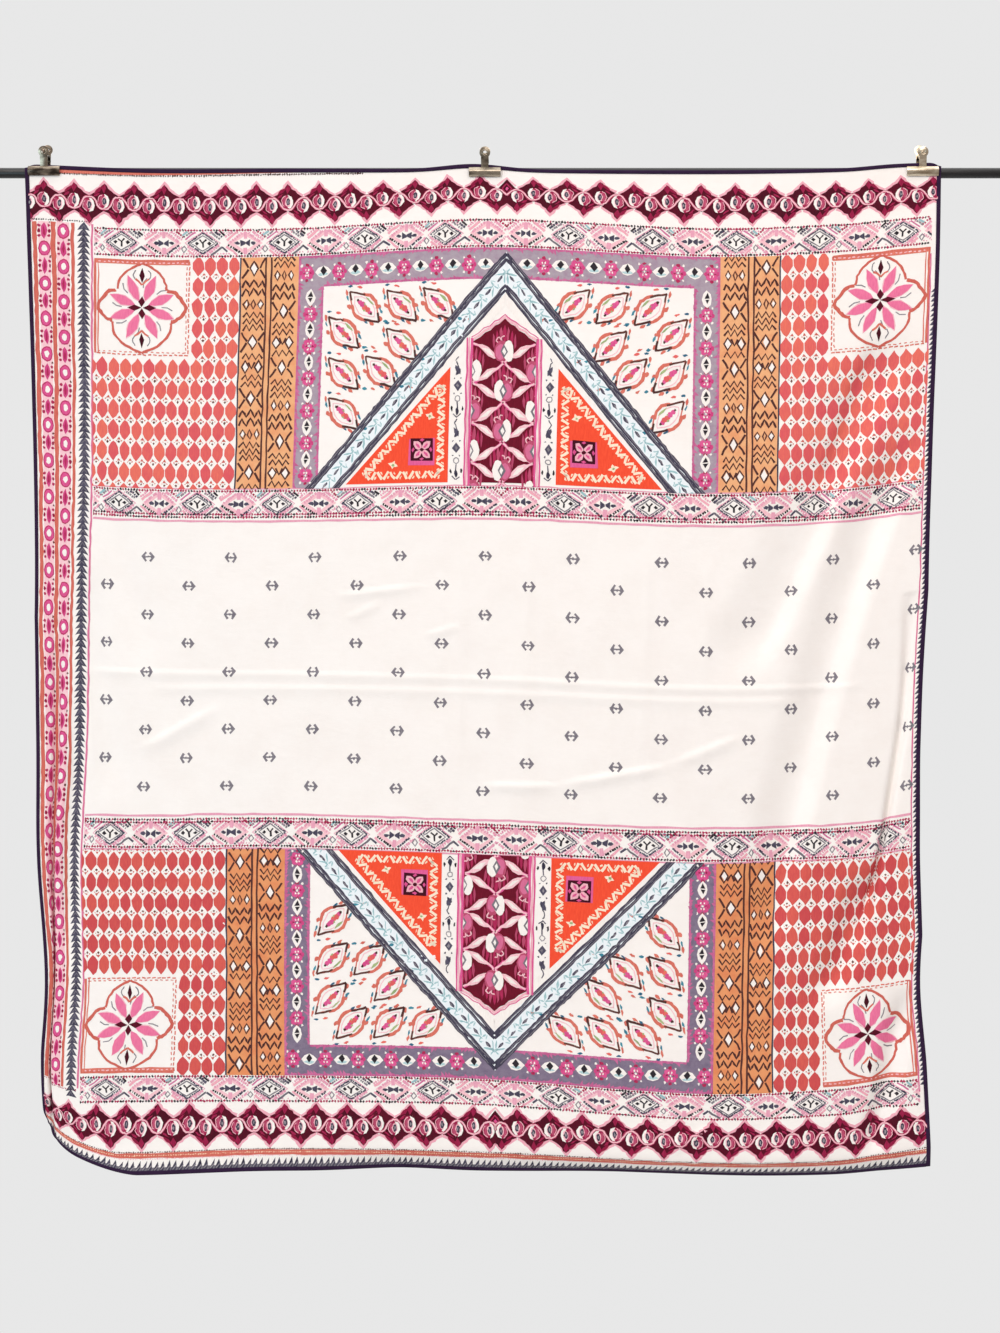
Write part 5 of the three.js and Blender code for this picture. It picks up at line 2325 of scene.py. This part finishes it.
@dataclass
class HemBorder:
    """The bottom edge's dotted salmon stripe and slate teeth, and the short stripe below the top edge."""

    left: float = 6
    stripe: float = 2379
    dot_pitch: float = 5.8
    teeth_top: float = 2389
    teeth_foot: float = 2416
    tooth_pitch: float = 14.5
    top_stripe: float = 12
    top_reach: float = 820

    def stitch(self, work: Stitching) -> None:
        """Stitch the hem.

        Args:
            work: Where it goes.
        """
        work.line([(self.left, self.stripe), (WIDTH, self.stripe)], 13, SALMON, 1, tint=0.5)
        high = self.top_stripe - 4
        low = self.top_stripe + 6.5
        work.fill([(self.left, high), (self.top_reach, high), (self.left, low)], SALMON, 1, tint=0.1)
        for k in range(int(WIDTH / self.dot_pitch)):
            s = self.dot_pitch * k
            work.fill(diamond(s, self.stripe - 8.5, 2.4, 2), BROWN, 1.1)
            work.fill(diamond(s, self.stripe + 7.5, 2.2, 1.8), PALE_PINK, 1.4, tint=0.3)
            work.fill(diamond(s + self.dot_pitch / 2, self.stripe - 1, 1.8, 1.8), CREAM, 1.4, tint=0.9)
            if s < self.top_reach:
                below = self.top_stripe + 7 - 7.5 * s / self.top_reach
                work.fill(diamond(s, below, 2.5, 3), BROWN, 1.6, tint=0.9)
        low = self.teeth_foot
        strip = [(self.left, low - 9), (WIDTH, low - 9), (WIDTH, low), (self.left, low)]
        work.fill(strip, GREY, 0.8, tint=0.8)
        for k in range(int(WIDTH / self.tooth_pitch)):
            s = 8 + self.tooth_pitch * k
            high = self.teeth_top + 3 * work.random.random()
            lean = 11 + 5 * work.random.random()
            tooth = [(s - 8, low), (s + lean - 8, high), (s + 6, low - 10), (s + 2, low)]
            work.fill(tooth, SLATE, 1, tint=0.2 + 0.6 * work.random.random())
            work.line([(s - 4, low - 2), (s + 0.4 * lean, low - 13)], 2.6, GREY, 1.4, tint=0.1)


# The studio


@dataclass
class Studio:
    """The camera, the soft lights, the pale surroundings and the floor."""

    eye: tuple = (0.0386, -5.5, -1.193)
    frame_height: float = 3.213
    cloth_y: float = -0.0176
    floor_z: float = -3.45
    floor_radius: float = 2.6
    front_tone: tuple = (0.42, 0.39, 0.377, 1)
    back_tone: tuple = (0.805, 0.805, 0.805, 1)
    overhead: float = 1.5

    def build(self) -> None:
        """Build the studio."""
        self._camera()
        self._world()
        self._lights()
        self._floor()
        bpy.context.scene.view_settings.view_transform = "Standard"

    def _camera(self) -> None:
        """A level camera square to the quilt's face."""
        data = bpy.data.cameras.new("camera")
        data.sensor_fit = "VERTICAL"
        distance = self.cloth_y - self.eye[1]
        data.angle_y = 2 * math.atan(self.frame_height / 2 / distance)
        camera = bpy.data.objects.new("camera", data)
        camera.location = self.eye
        camera.rotation_euler = (math.pi / 2, 0, 0)
        bpy.context.scene.collection.objects.link(camera)
        bpy.context.scene.camera = camera

    def _world(self) -> None:
        """Pale surroundings, brighter behind the quilt and overhead than in front of it."""
        world = bpy.data.worlds.new("studio")
        bpy.context.scene.world = world
        nodes = Nodes(world)
        depth = nodes.add("SeparateXYZ", "Y", Vector=nodes.add("TexCoord", "Generated"))
        tone = nodes.blend(nodes.ranged(depth, -0.35, 0.6), self.front_tone, self.back_tone)
        above = nodes.ranged(depth.node.outputs["Z"], 0.5, 0.95, 0, self.overhead)
        nodes.surface(Color=nodes.add("VectorMath", "Vector", ((0, tone), (1, above))))

    def _lights(self) -> None:
        """A soft key as of a large window at the upper left, a nearer one at its side and one overhead."""
        for name, kind, place, size, power, colour in (
            ("key", "SUN", (-3.8, -6.4, 4), math.radians(12), 0.85, (1, 0.88, 0.84)),
            ("side", "AREA", (-3.1, -3.9, -0.9), 2.2, 48, (0.6, 0.87, 1)),
            ("overhead", "AREA", (0.9, -3.2, 1.6), 2.2, 46, (1, 0.92, 0.88)),
        ):
            data = bpy.data.lights.new(name, kind)
            setattr(data, "angle" if kind == "SUN" else "size", size)
            data.energy = power
            data.color = colour
            light = bpy.data.objects.new(name, data)
            light.location = place
            aim = np.array([0, 0, -1.2]) - np.array(place)
            turn = math.atan2(aim[1], aim[0]) - math.pi / 2
            tilt = math.atan2(aim[2], math.hypot(aim[0], aim[1])) + math.pi / 2
            light.rotation_euler = (tilt, 0, turn)
            bpy.context.scene.collection.objects.link(light)

    def _floor(self) -> None:
        """A plain pale floor well below the hem."""
        count = 96
        ring = oval(0, -0.6, self.floor_radius, self.floor_radius, count)
        points = [(x, y, self.floor_z) for x, y in [(0, -0.6), *ring]]
        faces = [(0, 1 + k, 1 + (k + 1) % count) for k in range(count)]
        mesh = bpy.data.meshes.new("floor")
        mesh.from_pydata(points, [], faces)
        floor = bpy.data.objects.new("floor", mesh)
        bpy.context.scene.collection.objects.link(floor)
        paint = CottonFinish("floor_paint", (192, 192, 192), (184, 184, 184), relief=0)
        mesh.materials.append(paint.make())
        mesh.uv_layers.new(name=FLAT_MAP)
        floor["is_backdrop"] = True


def reported(piece: Piece) -> Piece:
    """Report a piece through the log and hand it on."""
    LOG.info("%s: %d faces", piece.name, len(piece.data.polygons))
    return piece


def embroidery(grid: ClothGrid) -> list[Piece]:
    """Stitch every pattern of the face.

    Args:
        grid: The hung cloth.

    Returns:
        The stitched pieces.
    """
    on_panels = {
        "coral_drops": CoralLattice, "flower_squares": FlowerSquare, "orange_strips": OrangeStrips,
        "mauve_frames": MauveFrame, "chevrons": Chevron, "leaf_fields": LeafField,
        "orange_gores": OrangeGores, "middle_columns": MiddleColumn,
    }
    plan = {
        "zigzags": [ZigzagBorder(79, dip=9, lag=0.05), ZigzagBorder(2312, 52, 14, bulge=0)],
        "lace_bands": [
            LaceBand(147, 217, (150, 213.5)),
            LaceBand(780, 862, (784, 840, 847), ((856.5, 5), (779, 3))),
            LaceBand(1550, 1640, (1566, 1573, 1632), ((1556, 5), (1638, 4))),
            LaceBand(2193, 2260, (2196, 2255)),
        ],
        **{name: [kind(Panel(*UPPER_PANEL)), kind(Panel(*LOWER_PANEL))] for name, kind in on_panels.items()},
        "side_border": [SideBorder(), RightMargin()],
        "field_arrows": [ArrowField()],
        "hem_border": [HemBorder()],
    }
    pieces = []
    for name, patterns in plan.items():
        work = Stitching(f"stitched_{name}", grid)
        for pattern in patterns:
            pattern.stitch(work)
        pieces.append(reported(work.build()))
    return pieces


def main() -> None:
    """Build the quilt, its binding, the rod, the clips and the studio."""
    logging.basicConfig(level=logging.INFO, format="%(name)s %(message)s")
    Studio().build()
    grid = ClothGrid(HungShape())
    quilt = reported(QuiltSheet(grid).build())
    purple = CottonFinish("cotton_purple", (50, 27, 60), (31, 15, 42), 0.4, 40).make()
    edges = [reported(BoundEdge(grid, side).build(purple)) for side in ("top", "bottom", "left", "right")]
    stitched = embroidery(grid)
    paint = MetalFinish("paint_black", (27, 27, 28), (16, 16, 17), 0, 0.32, 0.5, grain=(30, 240, 240))
    reported(HangingRod().build(paint.make()))
    # Each clip's two steel tones are partly its own steel and partly painted reflection: the left clip is
    # made darker and the right paler, with painted glare, as the light falls on them.
    clips = (
        (SpringClip("left", -1060, 3), (166, 152, 134), (66, 57, 50)),
        (SpringClip("centre", 2, 0), (174, 163, 145), (78, 69, 60)),
        (SpringClip("right", 1057, 2), (228, 216, 193), (158, 136, 107)),
    )
    for clip, light, dark in clips:
        steel = MetalFinish(f"steel_{clip.name}", light, dark, 1, 0.15, 0.3, grain=(22, 60, 60))
        for piece in clip.build(steel.make()):
            reported(piece)
    corners = [[[float(v) for v in corner] for corner in box] for box in (CAD_BOX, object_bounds())]


if __name__ == "__main__":
    main()
